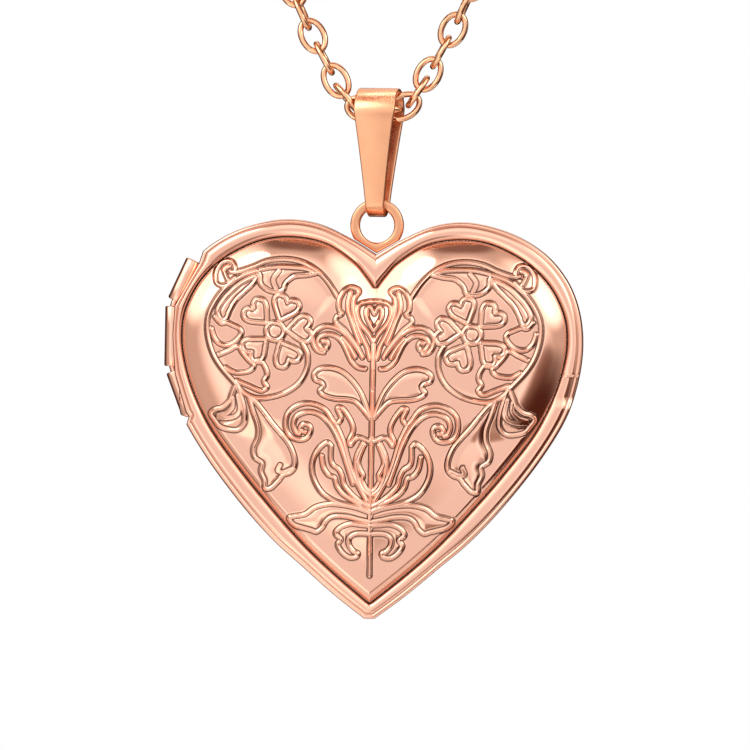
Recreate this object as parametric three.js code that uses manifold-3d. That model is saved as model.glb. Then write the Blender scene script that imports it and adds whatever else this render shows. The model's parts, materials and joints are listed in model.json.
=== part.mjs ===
// Heart locket on a cable chain, hung from a display peg.
//
// Millimetres, +Z up. The origin is on the axis of the peg that the spare chain is wound
// round. The ornamental front of the locket faces -Y, and +X is to the right of its face.
// The locket hangs in the plane y = 0, which is also the seam between its two covers.

import * as THREE from 'three';
import { mergeVertices } from 'three/addons/utils/BufferGeometryUtils.js';
import Module from 'manifold-3d';

// ---- driving dimensions -------------------------------------------------------------

const CHAIN_DIAMETER = 1.9;          // across a link
const CHAIN_DROP = 22;               // peg axis to the chain inside the bail
const BAIL_CHAIN_LEVEL = 21.6;       // height of that chain above the heart's own zero level

const COIL_OUTER_RADIUS = 12.15;
const COIL_INNER_RADIUS = 8.35;
const COIL_FRONT = -8;               // the coil's flat sides, along Y
const COIL_BACK = 2;
const COIL_STEPS = 40;

const FRONT_DEPTH = 3.3;             // seam to the top of the front dome
const BACK_DEPTH = 2.8;              // seam to the flat of the back
const SEAM_GAP = 0.05;               // each cover stops this far from the seam plane
const RIM_DEPTH = 1.9;
const LIP_REACH = 0.7;               // how far the closing lip stands into the front cover

const HINGE_X = -14.15;
const MIDDLE_KNUCKLE_LOW = 3.4;
const MIDDLE_KNUCKLE_HIGH = 7.6;
const UPPER_BEND = new THREE.Vector2(HINGE_X, 7.7);
const LOWER_BEND = new THREE.Vector2(HINGE_X, 3.35);
const UPPER_LEAN = new THREE.Vector2(0.406, 0.914);
const LOWER_LEAN = new THREE.Vector2(0.36, -0.933);
const OUTER_KNUCKLE_LENGTH = 3.1;
const OUTER_KNUCKLE_START = 0.3;
const KNUCKLE_RADIUS = 0.58;
const KNUCKLE_BORE = 0.3;
const PIN_RADIUS = 0.25;
const KNUCKLE_CLEARANCE = 0.1;
const ROUND_STEPS = 20;

const LOOP_LEVEL = 13.5;             // centre of the pendant loop above the heart's zero
const LOOP_OUTER_RADIUS = 1.87;
const LOOP_INNER_RADIUS = 1.2;
const LOOP_THICKNESS = 0.8;
const NOTCH_GAP = 0.11;

const BAIL_THICKNESS = 0.35;
const BAIL_TOP_RADIUS = 1.75;        // of the strip's middle, where it passes over the chain
const BAIL_FOOT_RADIUS = 1.0;
const BAIL_TOP_LEVEL = 22.925;       // of the strip's middle
const BAIL_FOOT_LEVEL = 14.265;
const BAIL_TOP_WIDTH = 2.9;
const BAIL_FOOT_WIDTH = 1.24;
const BAIL_TAPER = 1.2;

const CLASP_LEVEL = 13.4;            // the clasp lies flat on top of the coil
const CLASP_Y = -4;
const CLASP_THICKNESS = 1.6;
const RING_RADIUS = 1.3;             // of a jump ring's middle
const RING_WIRE = 0.44;

// ---- colours ------------------------------------------------------------------------

const metal = (color, roughness) =>
  new THREE.MeshStandardMaterial({ color, roughness, metalness: 1 });
const ROSE_GOLD = metal(0xeab29b, 0.18);
const PEACH_GOLD = metal(0xe8b083, 0.22);
const STEEL = metal(0xb9bcc0, 0.3);
const CLEAR = new THREE.MeshStandardMaterial({
  color: 0xf2f4f5, roughness: 0.1, metalness: 0, transparent: true, opacity: 0.35,
});
const PAPER = new THREE.MeshStandardMaterial({ color: 0xf1ece2, roughness: 0.9, metalness: 0 });

// ---- heart outlines: right half, from the notch down to the tip ------------------------

const OUTER_HALF = [
  [0, 11.45], [1.8, 12.52], [3.9, 13.48], [5.95, 13.82], [8, 13.55], [10.2, 12.75],
  [12.1, 11.45], [13.55, 9.6], [14.35, 7.4], [14.55, 5], [14.2, 2.5], [13.35, 0],
  [11.45, -3.1], [8.95, -6.3], [6.8, -8.6], [4.85, -10.3], [2.4, -12.4], [0.35, -13.95],
];
const GROOVE_HALF = [
  [0, 9.1], [0.6, 9.95], [1.5, 10.95], [3.4, 12.15], [5.7, 12.6], [8, 12.33], [10.35, 11.2],
  [12.1, 9.6], [13.2, 7.5], [13.45, 5.5], [13.15, 3.5], [12.45, 1.4], [11.2, -1],
  [9.1, -3.8], [7.6, -5.6], [6.1, -7.3], [4.4, -9.1], [2.3, -11], [0.06, -12.85],
];
const HEART_CENTRE = new THREE.Vector2(0, 2);
const HALF_STEPS = 27;

// The hinge side of both covers is cut back along this line to make room for the knuckles.
const HINGE_POCKET = [
  [-12.02, 12.6], [-12.02, 11.66], [-12.35, 10.6], [-14, 7.6], [-14.1, 5.6], [-13.9, 2.9],
  [-13.08, 0.2], [-12.86, -0.1], [-13, -0.6], [-16, -0.6], [-16, 12.6],
];

function closedHeart(half) {
  const curve = new THREE.SplineCurve(half.map(([x, z]) => new THREE.Vector2(x, z)));
  const right = curve.getSpacedPoints(HALF_STEPS);
  right[0].x = 0;
  const left = right.slice(1).reverse().map((p) => new THREE.Vector2(-p.x, p.y));
  return [...right, ...left];
}

const OUTER = closedHeart(OUTER_HALF);
const GROOVE = closedHeart(GROOVE_HALF);

// Across the rim: 0 is the outer edge of the heart and 1 is the groove inside its rim.
const rimRing = (across, y) =>
  OUTER.map((p, i) => {
    const q = p.clone().lerp(GROOVE[i], across);
    return new THREE.Vector3(q.x, y, q.y);
  });

// Inside the groove: 0 is the groove and 1 is the middle of the heart.
const innerRing = (inward, y) =>
  GROOVE.map((p) => {
    const q = p.clone().lerp(HEART_CENTRE, inward);
    return new THREE.Vector3(q.x, y, q.y);
  });

const middle = (y) => new THREE.Vector3(HEART_CENTRE.x, y, HEART_CENTRE.y);

// ---- solids -------------------------------------------------------------------------

// Skins a row of rings with equal point counts. Without end points the last ring joins the
// first one, and with them each end is closed by a fan.
function loft(rings, start, end) {
  const count = rings[0].length;
  const points = rings.flat();
  const faces = [];
  const bands = start ? rings.length - 1 : rings.length;
  for (let r = 0; r < bands; r += 1) {
    const here = r * count;
    const next = ((r + 1) % rings.length) * count;
    for (let i = 0; i < count; i += 1) {
      const j = (i + 1) % count;
      faces.push([here + i, next + i, next + j], [here + i, next + j, here + j]);
    }
  }
  if (start) {
    const last = (rings.length - 1) * count;
    const first = points.push(start) - 1;
    const final = points.push(end) - 1;
    for (let i = 0; i < count; i += 1) {
      const j = (i + 1) % count;
      faces.push([first, i, j], [final, last + j, last + i]);
    }
  }
  return facingOut(points, faces);
}

// Builds the geometry, turning every face round if the volume comes out negative.
function facingOut(points, faces) {
  const cross = new THREE.Vector3();
  const volume = faces.reduce(
    (sum, [a, b, c]) => sum + points[a].dot(cross.crossVectors(points[b], points[c])), 0);
  const index = faces.flatMap(([a, b, c]) => (volume > 0 ? [a, b, c] : [a, c, b]));
  const geometry = new THREE.BufferGeometry();
  const position = points.flatMap((p) => [p.x, p.y, p.z]);
  geometry.setAttribute('position', new THREE.Float32BufferAttribute(position, 3));
  geometry.setIndex(index);
  return geometry;
}

const wasm = await Module();
wasm.setup();

function toSolid(geometry) {
  const bare = geometry.clone();
  bare.deleteAttribute('normal');
  bare.deleteAttribute('uv');
  const merged = mergeVertices(bare, 1e-4);
  return new wasm.Manifold(new wasm.Mesh({
    numProp: 3,
    vertProperties: new Float32Array(merged.attributes.position.array),
    triVerts: new Uint32Array(merged.index.array),
  }));
}

function toGeometry(solid) {
  const mesh = solid.getMesh();
  const geometry = new THREE.BufferGeometry();
  geometry.setAttribute('position', new THREE.BufferAttribute(mesh.vertProperties, 3));
  geometry.setIndex(new THREE.BufferAttribute(mesh.triVerts, 1));
  return geometry;
}

function cut(geometry, ...tools) {
  const rest = tools.reduce((solid, tool) => solid.subtract(toSolid(tool)), toSolid(geometry));
  return toGeometry(rest);
}

const join = (a, b) => toGeometry(toSolid(a).add(toSolid(b)));

// A flat shape drawn in X and Z, given a thickness between two values of Y.
function plateXZ(shape, yFrom, yTo, curveSegments = 12) {
  const depth = yTo - yFrom;
  const geometry = new THREE.ExtrudeGeometry(shape, { depth, bevelEnabled: false, curveSegments });
  return geometry.rotateX(Math.PI / 2).translate(0, yTo, 0);
}

// A flat shape drawn in X and Y, given a thickness that is centred on z = 0.
function plateXY(shape, thickness, curveSegments = 12) {
  const settings = { depth: thickness, bevelEnabled: false, curveSegments };
  return new THREE.ExtrudeGeometry(shape, settings).translate(0, 0, -thickness / 2);
}

function ringShape(outer, inner) {
  const shape = new THREE.Shape().absarc(0, 0, outer, 0, 2 * Math.PI, false);
  shape.holes.push(new THREE.Path().absarc(0, 0, inner, 0, 2 * Math.PI, true));
  return shape;
}

// A rod between two points of the plane y = 0, drawn as X and Z.
function rod(from, to, radius) {
  const along = new THREE.Vector3(to.x - from.x, 0, to.y - from.y);
  const geometry = new THREE.CylinderGeometry(radius, radius, along.length(), ROUND_STEPS);
  const turn = new THREE.Quaternion()
    .setFromUnitVectors(new THREE.Vector3(0, 1, 0), along.clone().normalize());
  return geometry.applyQuaternion(turn)
    .translate((from.x + to.x) / 2, 0, (from.y + to.y) / 2);
}

// ---- covers -------------------------------------------------------------------------

const upperEnd = UPPER_BEND.clone()
  .addScaledVector(UPPER_LEAN, OUTER_KNUCKLE_START + OUTER_KNUCKLE_LENGTH);
const lowerEnd = LOWER_BEND.clone()
  .addScaledVector(LOWER_LEAN, OUTER_KNUCKLE_START + OUTER_KNUCKLE_LENGTH);

// Room round the three knuckles, a little longer than they are.
function hingeRoom() {
  const radius = KNUCKLE_RADIUS + KNUCKLE_CLEARANCE;
  const past = 0.3;
  const below = new THREE.Vector2(HINGE_X, LOWER_BEND.y - past);
  const above = new THREE.Vector2(HINGE_X, UPPER_BEND.y + past);
  return [
    rod(below, above, radius),
    rod(UPPER_BEND, upperEnd.clone().addScaledVector(UPPER_LEAN, past), radius),
    rod(LOWER_BEND, lowerEnd.clone().addScaledVector(LOWER_LEAN, past), radius),
  ];
}

function hingePocket() {
  const shape = new THREE.Shape(HINGE_POCKET.map(([x, z]) => new THREE.Vector2(x, z)));
  return plateXZ(shape, -4, 4);
}

// side is -1 for the front cover and 1 for the back cover. crown lists the rings inside the
// groove, from the groove to the middle, as [inward, depth of outside, depth of inside]. The
// skin runs from the middle of the outside, round the seam edge, to the middle of the inside.
function cover(side, crown, depth, wall) {
  const insideDepths = crown.slice(1).reverse();
  const outside = [
    rimRing(0, side * SEAM_GAP),
    rimRing(0, side * (RIM_DEPTH - 0.35)),
    rimRing(0.25, side * RIM_DEPTH),
    rimRing(0.82, side * (RIM_DEPTH - 0.08)),
    rimRing(1, side * (RIM_DEPTH - 0.3)),
    ...crown.map(([inward, out]) => innerRing(inward, side * out)),
  ];
  const within = [
    ...insideDepths.map(([inward, , back]) => innerRing(inward + 0.025, side * back)),
    innerRing(0.045, side * (RIM_DEPTH - 0.65)),
    rimRing(0.45, side * (RIM_DEPTH - 0.65)),
    rimRing(0.38, side * SEAM_GAP),
  ];
  const fromTheTop = [...outside.reverse(), ...within.reverse()];
  const skin = loft(fromTheTop, middle(side * depth), middle(side * (depth - wall)));
  return cut(skin, hingePocket(), ...hingeRoom());
}

const WALL = 0.42;
const FRONT_CROWN = [
  [0.02, 1.66, 1.3], [0.1, 2.6, 2.2], [0.2, 3.02, 2.6], [0.45, 3.22, 2.8],
];
const BACK_CROWN = [
  [0.02, 1.62, 1.3], [0.12, 2.3, 1.9], [0.28, BACK_DEPTH - 0.08, 2.3], [0.34, BACK_DEPTH, 2.38],
];

// A flat heart with a heart-shaped opening, between two depths.
function heartFrame(outerRing, innerRingOf, yFrom, yTo) {
  return loft([outerRing(yFrom), outerRing(yTo), innerRingOf(yTo), innerRingOf(yFrom)]);
}

function heartPlate(inward, yFrom, yTo) {
  return loft([innerRing(inward, yFrom), innerRing(inward, yTo)], middle(yFrom), middle(yTo));
}

const FRAME_OPENING = 0.13;
const PHOTO_EDGE = 0.09;

const photoFrame = (across, yFrom, yTo) =>
  heartFrame((y) => rimRing(across, y), (y) => innerRing(FRAME_OPENING, y), yFrom, yTo);

// The lip stops short of the hinge, where the knuckles are.
function closingLip() {
  const ring = heartFrame((y) => rimRing(0.46, y), (y) => rimRing(0.76, y), -LIP_REACH, 1.15);
  const gap = new THREE.BoxGeometry(5, 4, 12.4).translate(-13.6, 0, 5.3);
  return cut(ring, gap);
}

// ---- hinge --------------------------------------------------------------------------

function knuckle(from, to) {
  const past = to.clone().sub(from).normalize().multiplyScalar(0.2);
  const bore = rod(from.clone().sub(past), to.clone().add(past), KNUCKLE_BORE);
  return cut(rod(from, to, KNUCKLE_RADIUS), bore);
}

// The pin is straight through the middle knuckle and bent to follow the outer two.
function hingePin() {
  const ends = [lowerEnd, LOWER_BEND, UPPER_BEND, upperEnd];
  const corner = (p) => new THREE.Vector3(p.x, 0, p.y);
  const path = new THREE.CurvePath();
  ends.slice(1).forEach((p, i) => path.add(new THREE.LineCurve3(corner(ends[i]), corner(p))));
  const stations = [0, 0.28, 0.3, 0.35, 0.5, 0.65, 0.7, 0.72, 1];
  const rings = stations.map((t) => {
    const at = path.getPointAt(t);
    const along = path.getTangentAt(Math.min(Math.max(t, 0.001), 0.999));
    const side = new THREE.Vector3(0, 1, 0);
    const across = new THREE.Vector3().crossVectors(along, side).normalize();
    return Array.from({ length: 12 }, (_, k) => {
      const turn = (k / 12) * 2 * Math.PI;
      return at.clone()
        .addScaledVector(side, PIN_RADIUS * Math.cos(turn))
        .addScaledVector(across, PIN_RADIUS * Math.sin(turn));
    });
  });
  return loft(rings, path.getPointAt(0), path.getPointAt(1));
}

// ---- loop and bail ------------------------------------------------------------------

// A flat ring whose lower edge is drawn down to a point that fills the heart's notch.
function pendantLoop() {
  const shoulder = THREE.MathUtils.degToRad(-32);
  const shape = new THREE.Shape();
  shape.absarc(0, 0, LOOP_OUTER_RADIUS, shoulder, Math.PI - shoulder, false);
  shape.lineTo(0, OUTER_HALF[0][1] + NOTCH_GAP - LOOP_LEVEL);
  shape.holes.push(new THREE.Path().absarc(0, 0, LOOP_INNER_RADIUS, 0, 2 * Math.PI, true));
  return plateXZ(shape, -LOOP_THICKNESS / 2, LOOP_THICKNESS / 2, 16);
}

// A strip folded into a long loop in the YZ plane, broad over the chain and narrow at its foot.
function bail() {
  const topCentre = BAIL_TOP_LEVEL - BAIL_TOP_RADIUS;
  const footCentre = BAIL_FOOT_LEVEL + BAIL_FOOT_RADIUS;
  const lean = Math.asin((BAIL_TOP_RADIUS - BAIL_FOOT_RADIUS) / (topCentre - footCentre));
  const arc = (centre, radius, from, to, steps) =>
    Array.from({ length: steps + 1 }, (_, i) => {
      const turn = from + ((to - from) * i) / steps;
      return { turn, radius, centre };
    });
  const stations = [
    ...arc(topCentre, BAIL_TOP_RADIUS, -lean, Math.PI + lean, 14),
    ...arc(footCentre, BAIL_FOOT_RADIUS, Math.PI + lean, 2 * Math.PI - lean, 10),
  ];
  const edge = (station, x, out) => {
    const reach = station.radius + out;
    return new THREE.Vector3(
      x, reach * Math.cos(station.turn), station.centre + reach * Math.sin(station.turn));
  };
  const rings = stations.map((station) => {
    const height = station.centre + station.radius * Math.sin(station.turn);
    const span = (height - BAIL_FOOT_LEVEL) / (BAIL_CHAIN_LEVEL - BAIL_FOOT_LEVEL);
    const share = Math.min(Math.max(span, 0), 1) ** BAIL_TAPER;
    const half = THREE.MathUtils.lerp(BAIL_FOOT_WIDTH, BAIL_TOP_WIDTH, share) / 2;
    const t = BAIL_THICKNESS / 2;
    const corners = [[-half, -t], [half, -t], [half, t], [-half, t]];
    return corners.map(([x, out]) => edge(station, x, out));
  });
  return loft(rings);
}

// ---- chain --------------------------------------------------------------------------

// Route of the chain below the coil: down on the left, level through the bail, up on the right.
const STRAND_ROUTE = [
  [-7.44, 0.95, -10.98], [-6.95, 0.88, -12.1], [-6.5, 0.82, -13.13], [-5.87, 0.7, -14.6],
  [-5.3, 0.58, -15.86], [-4.7, 0.44, -17.05], [-4.05, 0.28, -18.27], [-3.5, 0.16, -19.25],
  [-3.0, 0.08, -20.14], [-2.5, 0.03, -20.96], [-1.95, 0, -21.6], [-1.3, 0, -21.94],
  [-0.5, 0, -22], [0.5, 0, -22], [1.3, 0, -21.94], [1.95, 0, -21.6],
  [2.5, -0.03, -20.96], [3.0, -0.08, -20.14], [3.5, -0.16, -19.25], [4.05, -0.28, -18.27],
  [4.7, -0.44, -17.05], [5.3, -0.58, -15.86], [5.87, -0.7, -14.6], [6.5, -0.82, -13.13],
  [6.95, -0.88, -12.1], [7.44, -0.95, -10.98],
];
const STRAND_STEPS = 48;
const CORD_SIDES = 8;

function strands() {
  const path = new THREE.CatmullRomCurve3(STRAND_ROUTE.map((p) => new THREE.Vector3(...p)));
  const section = new THREE.Shape(Array.from({ length: CORD_SIDES }, (_, k) => {
    const turn = (k / CORD_SIDES) * 2 * Math.PI;
    const radius = CHAIN_DIAMETER / 2;
    return new THREE.Vector2(radius * Math.cos(turn), radius * Math.sin(turn));
  }));
  return new THREE.ExtrudeGeometry(section, {
    steps: STRAND_STEPS, extrudePath: path, bevelEnabled: false,
  });
}

// The spare chain wound round the peg, as one ring with rounded edges.
function coil() {
  const soft = CHAIN_DIAMETER / 3;
  const profile = [
    [COIL_INNER_RADIUS, COIL_FRONT + soft], [COIL_INNER_RADIUS, COIL_BACK - soft],
    [COIL_INNER_RADIUS + soft, COIL_BACK], [COIL_OUTER_RADIUS - soft, COIL_BACK],
    [COIL_OUTER_RADIUS, COIL_BACK - soft], [COIL_OUTER_RADIUS, COIL_FRONT + soft],
    [COIL_OUTER_RADIUS - soft, COIL_FRONT], [COIL_INNER_RADIUS + soft, COIL_FRONT],
    [COIL_INNER_RADIUS, COIL_FRONT + soft],
  ];
  const points = profile.reverse().map(([r, y]) => new THREE.Vector2(r, y));
  return new THREE.LatheGeometry(points, COIL_STEPS);
}

// A round wire ring lying in the XY plane.
function wireRing() {
  const wire = new THREE.EllipseCurve(RING_RADIUS, 0, RING_WIRE / 2, RING_WIRE / 2);
  return new THREE.LatheGeometry(wire.getPoints(8), 20).rotateX(Math.PI / 2);
}

// ---- clasp: a lobster claw drawn in its own XY plane, nose towards +X --------------------

const HOOK = { x: 2, outer: 2.2, inner: 1.35 };
const TAIL = { x: -3.4, outer: 1, hole: 0.55 };
const PIVOT = { x: -0.95, y: 0.75, cheek: 1, pin: 0.25, bore: 0.3 };
const TAIL_THICKNESS = 0.8;
const LEVER_THICKNESS = 0.7;
const LEVER_SLOT = 0.9;

const disc = (x, y, radius, height, steps = ROUND_STEPS) =>
  new THREE.CylinderGeometry(radius, radius, height, steps).rotateX(Math.PI / 2).translate(x, y, 0);

function claspBody() {
  const claw = new THREE.Shape();
  claw.absarc(HOOK.x, 0, HOOK.outer, 1.75, -2.45, true);
  claw.lineTo(TAIL.x + 1.2, -0.62);
  claw.lineTo(TAIL.x + 0.6, -0.3);
  claw.lineTo(TAIL.x + 0.6, 0.3);
  claw.absarc(PIVOT.x, PIVOT.y, PIVOT.cheek, 2.9, -0.6, true);
  claw.absarc(HOOK.x, 0, HOOK.inner, Math.PI, 1.75 + 2 * Math.PI, false);
  const tail = disc(TAIL.x, 0, TAIL.outer, TAIL_THICKNESS);
  const blank = join(plateXY(claw, CLASP_THICKNESS, 16), tail);
  const hole = disc(TAIL.x, 0, TAIL.hole, 3);
  const slot = disc(PIVOT.x, PIVOT.y, PIVOT.cheek + 0.1, LEVER_SLOT);
  const mouth = new THREE.BoxGeometry(1.9, 1.6, LEVER_SLOT)
    .translate(PIVOT.x + 0.1, PIVOT.y + 0.8, 0);
  const springPocket = new THREE.BoxGeometry(1, 0.7, LEVER_SLOT).translate(PIVOT.x - 0.9, 0.25, 0);
  const bore = disc(PIVOT.x, PIVOT.y, PIVOT.bore, 3);
  return cut(blank, hole, slot, mouth, springPocket, bore);
}

function claspLever() {
  const gate = new THREE.Shape();
  gate.absarc(PIVOT.x, PIVOT.y, 0.72, -0.9, 2.2, true);
  gate.lineTo(PIVOT.x - 0.75, PIVOT.y + 1.35);
  gate.lineTo(PIVOT.x - 0.35, PIVOT.y + 1.5);
  gate.quadraticCurveTo(PIVOT.x + 0.1, PIVOT.y + 0.85, PIVOT.x + 1, PIVOT.y + 1.0);
  gate.lineTo(HOOK.x - 0.62, 2.02);
  gate.lineTo(HOOK.x - 0.45, 1.4);
  gate.quadraticCurveTo(PIVOT.x + 1.4, PIVOT.y + 0.55, PIVOT.x + 0.45, PIVOT.y - 0.56);
  return cut(plateXY(gate, LEVER_THICKNESS, 8), disc(PIVOT.x, PIVOT.y, PIVOT.bore, 3));
}

// ---- assembly -----------------------------------------------------------------------

function piece(name, geometry, material, parent) {
  const mesh = new THREE.Mesh(geometry, material);
  mesh.name = name;
  parent.add(mesh);
  return mesh;
}

const locket = new THREE.Group();

piece('chain_strands', strands(), PEACH_GOLD, locket);
piece('chain_coil', coil(), PEACH_GOLD, locket);

const heart = new THREE.Group();
heart.position.z = -CHAIN_DROP - BAIL_CHAIN_LEVEL;
locket.add(heart);

piece('bail', bail(), PEACH_GOLD, heart);
piece('pendant_loop', pendantLoop(), PEACH_GOLD, heart).position.z = LOOP_LEVEL;

piece('front_cover', cover(-1, FRONT_CROWN, FRONT_DEPTH, WALL), ROSE_GOLD, heart);
piece('front_photo_frame', photoFrame(0.85, -1.15, -0.85), ROSE_GOLD, heart);
piece('front_photo_window', heartPlate(PHOTO_EDGE, -1.42, -1.22), CLEAR, heart);
piece('front_photo_card', heartPlate(PHOTO_EDGE, -1.62, -1.48), PAPER, heart);

piece('back_cover', cover(1, BACK_CROWN, BACK_DEPTH, WALL), ROSE_GOLD, heart);
piece('closing_lip', closingLip(), ROSE_GOLD, heart);
piece('back_photo_frame', photoFrame(0.92, 0.45, 0.72), ROSE_GOLD, heart);
piece('back_photo_window', heartPlate(PHOTO_EDGE, 0.8, 1.0), CLEAR, heart);
piece('back_photo_card', heartPlate(PHOTO_EDGE, 1.06, 1.2), PAPER, heart);

const upperStart = UPPER_BEND.clone().addScaledVector(UPPER_LEAN, OUTER_KNUCKLE_START);
const lowerStart = LOWER_BEND.clone().addScaledVector(LOWER_LEAN, OUTER_KNUCKLE_START);
piece('hinge_knuckle_upper', knuckle(upperStart, upperEnd), ROSE_GOLD, heart);
const middleLow = new THREE.Vector2(HINGE_X, MIDDLE_KNUCKLE_LOW);
const middleHigh = new THREE.Vector2(HINGE_X, MIDDLE_KNUCKLE_HIGH);
piece('hinge_knuckle_middle', knuckle(middleLow, middleHigh), ROSE_GOLD, heart);
piece('hinge_knuckle_lower', knuckle(lowerStart, lowerEnd), ROSE_GOLD, heart);
piece('hinge_pin', hingePin(), ROSE_GOLD, heart);

const clasp = new THREE.Group();
clasp.position.set(0, CLASP_Y, CLASP_LEVEL);
locket.add(clasp);

piece('clasp_body', claspBody(), PEACH_GOLD, clasp);
piece('clasp_lever', claspLever(), PEACH_GOLD, clasp);
const rivet = disc(PIVOT.x, PIVOT.y, PIVOT.pin, CLASP_THICKNESS - 0.1, 12);
piece('clasp_rivet', rivet, PEACH_GOLD, clasp);
piece('clasp_spring', disc(PIVOT.x - 1.1, 0.22, 0.22, LEVER_THICKNESS, 10), STEEL, clasp);

// Both rings stand on edge through the flat claw: one in its tail, one in its hook.
const tailRing = piece('clasp_ring', wireRing(), PEACH_GOLD, clasp);
tailRing.rotation.x = Math.PI / 2;
tailRing.position.x = TAIL.x - RING_RADIUS;
const endRing = piece('end_ring', wireRing(), PEACH_GOLD, clasp);
endRing.rotation.x = Math.PI / 2;
endRing.position.x = HOOK.x + (HOOK.inner + HOOK.outer) / 2;

export default locket;
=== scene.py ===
"""Heart locket on a cable chain: its fine surface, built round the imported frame.

Shapes are worked out in millimetres in the row frame, and mesh_piece() turns them into metres.
The locket's own drawing uses u to the right, v upwards and a depth away from its seam plane.
"""
import json
import math

import bpy
import numpy as np
from mathutils import Matrix, Vector


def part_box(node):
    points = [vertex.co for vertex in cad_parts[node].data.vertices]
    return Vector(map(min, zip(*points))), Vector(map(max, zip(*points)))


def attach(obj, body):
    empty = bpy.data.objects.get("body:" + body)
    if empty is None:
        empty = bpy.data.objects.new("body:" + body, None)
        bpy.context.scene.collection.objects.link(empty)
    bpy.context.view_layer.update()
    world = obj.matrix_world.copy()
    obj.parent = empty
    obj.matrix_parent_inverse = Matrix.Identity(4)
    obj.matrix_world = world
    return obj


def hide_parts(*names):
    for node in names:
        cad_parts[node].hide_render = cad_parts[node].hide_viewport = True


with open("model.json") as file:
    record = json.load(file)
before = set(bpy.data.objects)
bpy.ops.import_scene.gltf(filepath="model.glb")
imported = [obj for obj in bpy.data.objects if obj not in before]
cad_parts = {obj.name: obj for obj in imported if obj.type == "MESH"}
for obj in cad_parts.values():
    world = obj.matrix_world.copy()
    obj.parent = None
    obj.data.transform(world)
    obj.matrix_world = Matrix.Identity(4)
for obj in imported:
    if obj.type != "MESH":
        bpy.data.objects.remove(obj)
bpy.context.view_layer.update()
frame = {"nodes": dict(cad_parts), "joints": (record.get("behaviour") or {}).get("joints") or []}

MM = 0.001
JOINTS = {joint["name"]: joint for joint in frame["joints"]}


def box_mm(node):
    """Lowest and highest corner of a CAD node, in millimetres."""
    low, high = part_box(node)
    return np.array(low) / MM, np.array(high) / MM


def joint_mm(name):
    return np.array(JOINTS[name]["pos_m"]) / MM


# ---- driving dimensions, in millimetres ---------------------------------------------

LOOP_LEVEL = 13.5                                   # v of the pendant loop's centre
ZERO_LEVEL = joint_mm("locket_swing")[2] - LOOP_LEVEL      # height in the frame of v = 0

SEAM_GAP = 0.05
RIM_DEPTH = 1.9
RIM_WIDTH = 1.1                                     # where the rim's drawn sizes are true
GROOVE_DEPTH = 1.6
WALL = 0.42
HEART_CENTRE = np.array([0, 2.0])

HINGE_X = joint_mm("cover_hinge")[0]
KNUCKLE_RADIUS = 0.58
KNUCKLE_BORE = 0.3
KNUCKLE_LENGTH = 3.1
KNUCKLE_ROOM = 0.68
KNUCKLE_SOFT = 0.08
KNUCKLE_BEVEL = 0.03
PIN_RADIUS = 0.25
PIN_BEND = 0.12                                     # cut off each side of a corner

LINK_LENGTH = 2.75
LINK_WIDTH = 1.98
LINK_WIRE = 0.42
LINK_PITCH = 1.78
LINK_STEPS = 32                                     # points round a link, and round its wire
LINK_SIDES = 10
COIL_OUTER = 11.2                                   # middle of the outer layer of turns
COIL_INNER = 9.3

RING_RADIUS = 1.3
RING_WIRE = 0.44

# ---- curves -------------------------------------------------------------------------


def catmull(points, per_span=16):
    """A uniform Catmull-Rom spline through the points, as a dense polyline."""
    p = np.array(points, float)
    p = np.vstack([p[:1], p, p[-1:]])
    t = np.linspace(0, 1, per_span, endpoint=False)[:, None]
    spans = []
    for a, b, c, d in zip(p[:-3], p[1:-2], p[2:-1], p[3:]):
        square, cube = 2 * a - 5 * b + 4 * c - d, 3 * b - a - 3 * c + d
        spans.append(0.5 * (2 * b + (c - a) * t + square * t**2 + cube * t**3))
    return np.vstack([*spans, p[-1:]])


def distances_along(line):
    steps = np.linalg.norm(np.diff(line, axis=0), axis=1)
    return np.concatenate([[0], np.cumsum(steps)])


def points_at(line, stations):
    """Points at given distances along a polyline."""
    along = distances_along(line)
    return np.stack([np.interp(stations, along, axis) for axis in line.T], axis=1)


def spaced(line, count):
    return points_at(line, np.linspace(0, distances_along(line)[-1], count))


def smooth(x):
    t = np.clip(x, 0, 1)
    return t * t * (3 - 2 * t)


def circle(radius, count, phase=0.0):
    turn = np.linspace(0, 2 * math.pi, count, endpoint=False) + phase
    return radius * np.stack([np.cos(turn), np.sin(turn)], axis=1)


def rounded_box(half_width, half_height, radius, steps=4):
    """The outline of a rectangle with round corners, anticlockwise."""
    corners = []
    for quarter, (sx, sy) in enumerate([(1, 1), (-1, 1), (-1, -1), (1, -1)]):
        turn = np.linspace(0, math.pi / 2, steps + 1) + quarter * math.pi / 2
        centre = np.array([sx * (half_width - radius), sy * (half_height - radius)])
        corners.append(centre + radius * np.stack([np.cos(turn), np.sin(turn)], axis=1))
    return np.vstack(corners)


NEARLY_ZERO = 1e-12
BATCH = 20000               # points at a time, which bounds the memory used


def distance_to_line(points, line):
    """Distance from each 2-D point to a polyline."""
    a, along = line[:-1], np.diff(line, axis=0)
    square = np.maximum((along**2).sum(axis=1), NEARLY_ZERO)
    found = np.empty(len(points))
    for start in range(0, len(points), BATCH):
        p = points[start:start + BATCH, None, :]
        share = np.clip(((p - a) * along).sum(axis=2) / square, 0, 1)
        gap = p - a - share[:, :, None] * along
        found[start:start + BATCH] = np.sqrt((gap**2).sum(axis=2).min(axis=1))
    return found


def inside_outline(points, line):
    """True for the 2-D points inside a closed polyline."""
    x, y = points[:, 0:1], points[:, 1:2]
    (x0, y0), (x1, y1) = line.T, np.roll(line, -1, axis=0).T
    rise = np.where(y1 == y0, NEARLY_ZERO, y1 - y0)
    crosses = ((y0 > y) != (y1 > y)) & (x < x0 + (y - y0) * (x1 - x0) / rise)
    return crosses.sum(axis=1) % 2 == 1


# ---- meshes -------------------------------------------------------------------------


def new_object(name, data):
    made = bpy.data.objects.new(name, data)
    bpy.context.scene.collection.objects.link(made)
    return made


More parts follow.
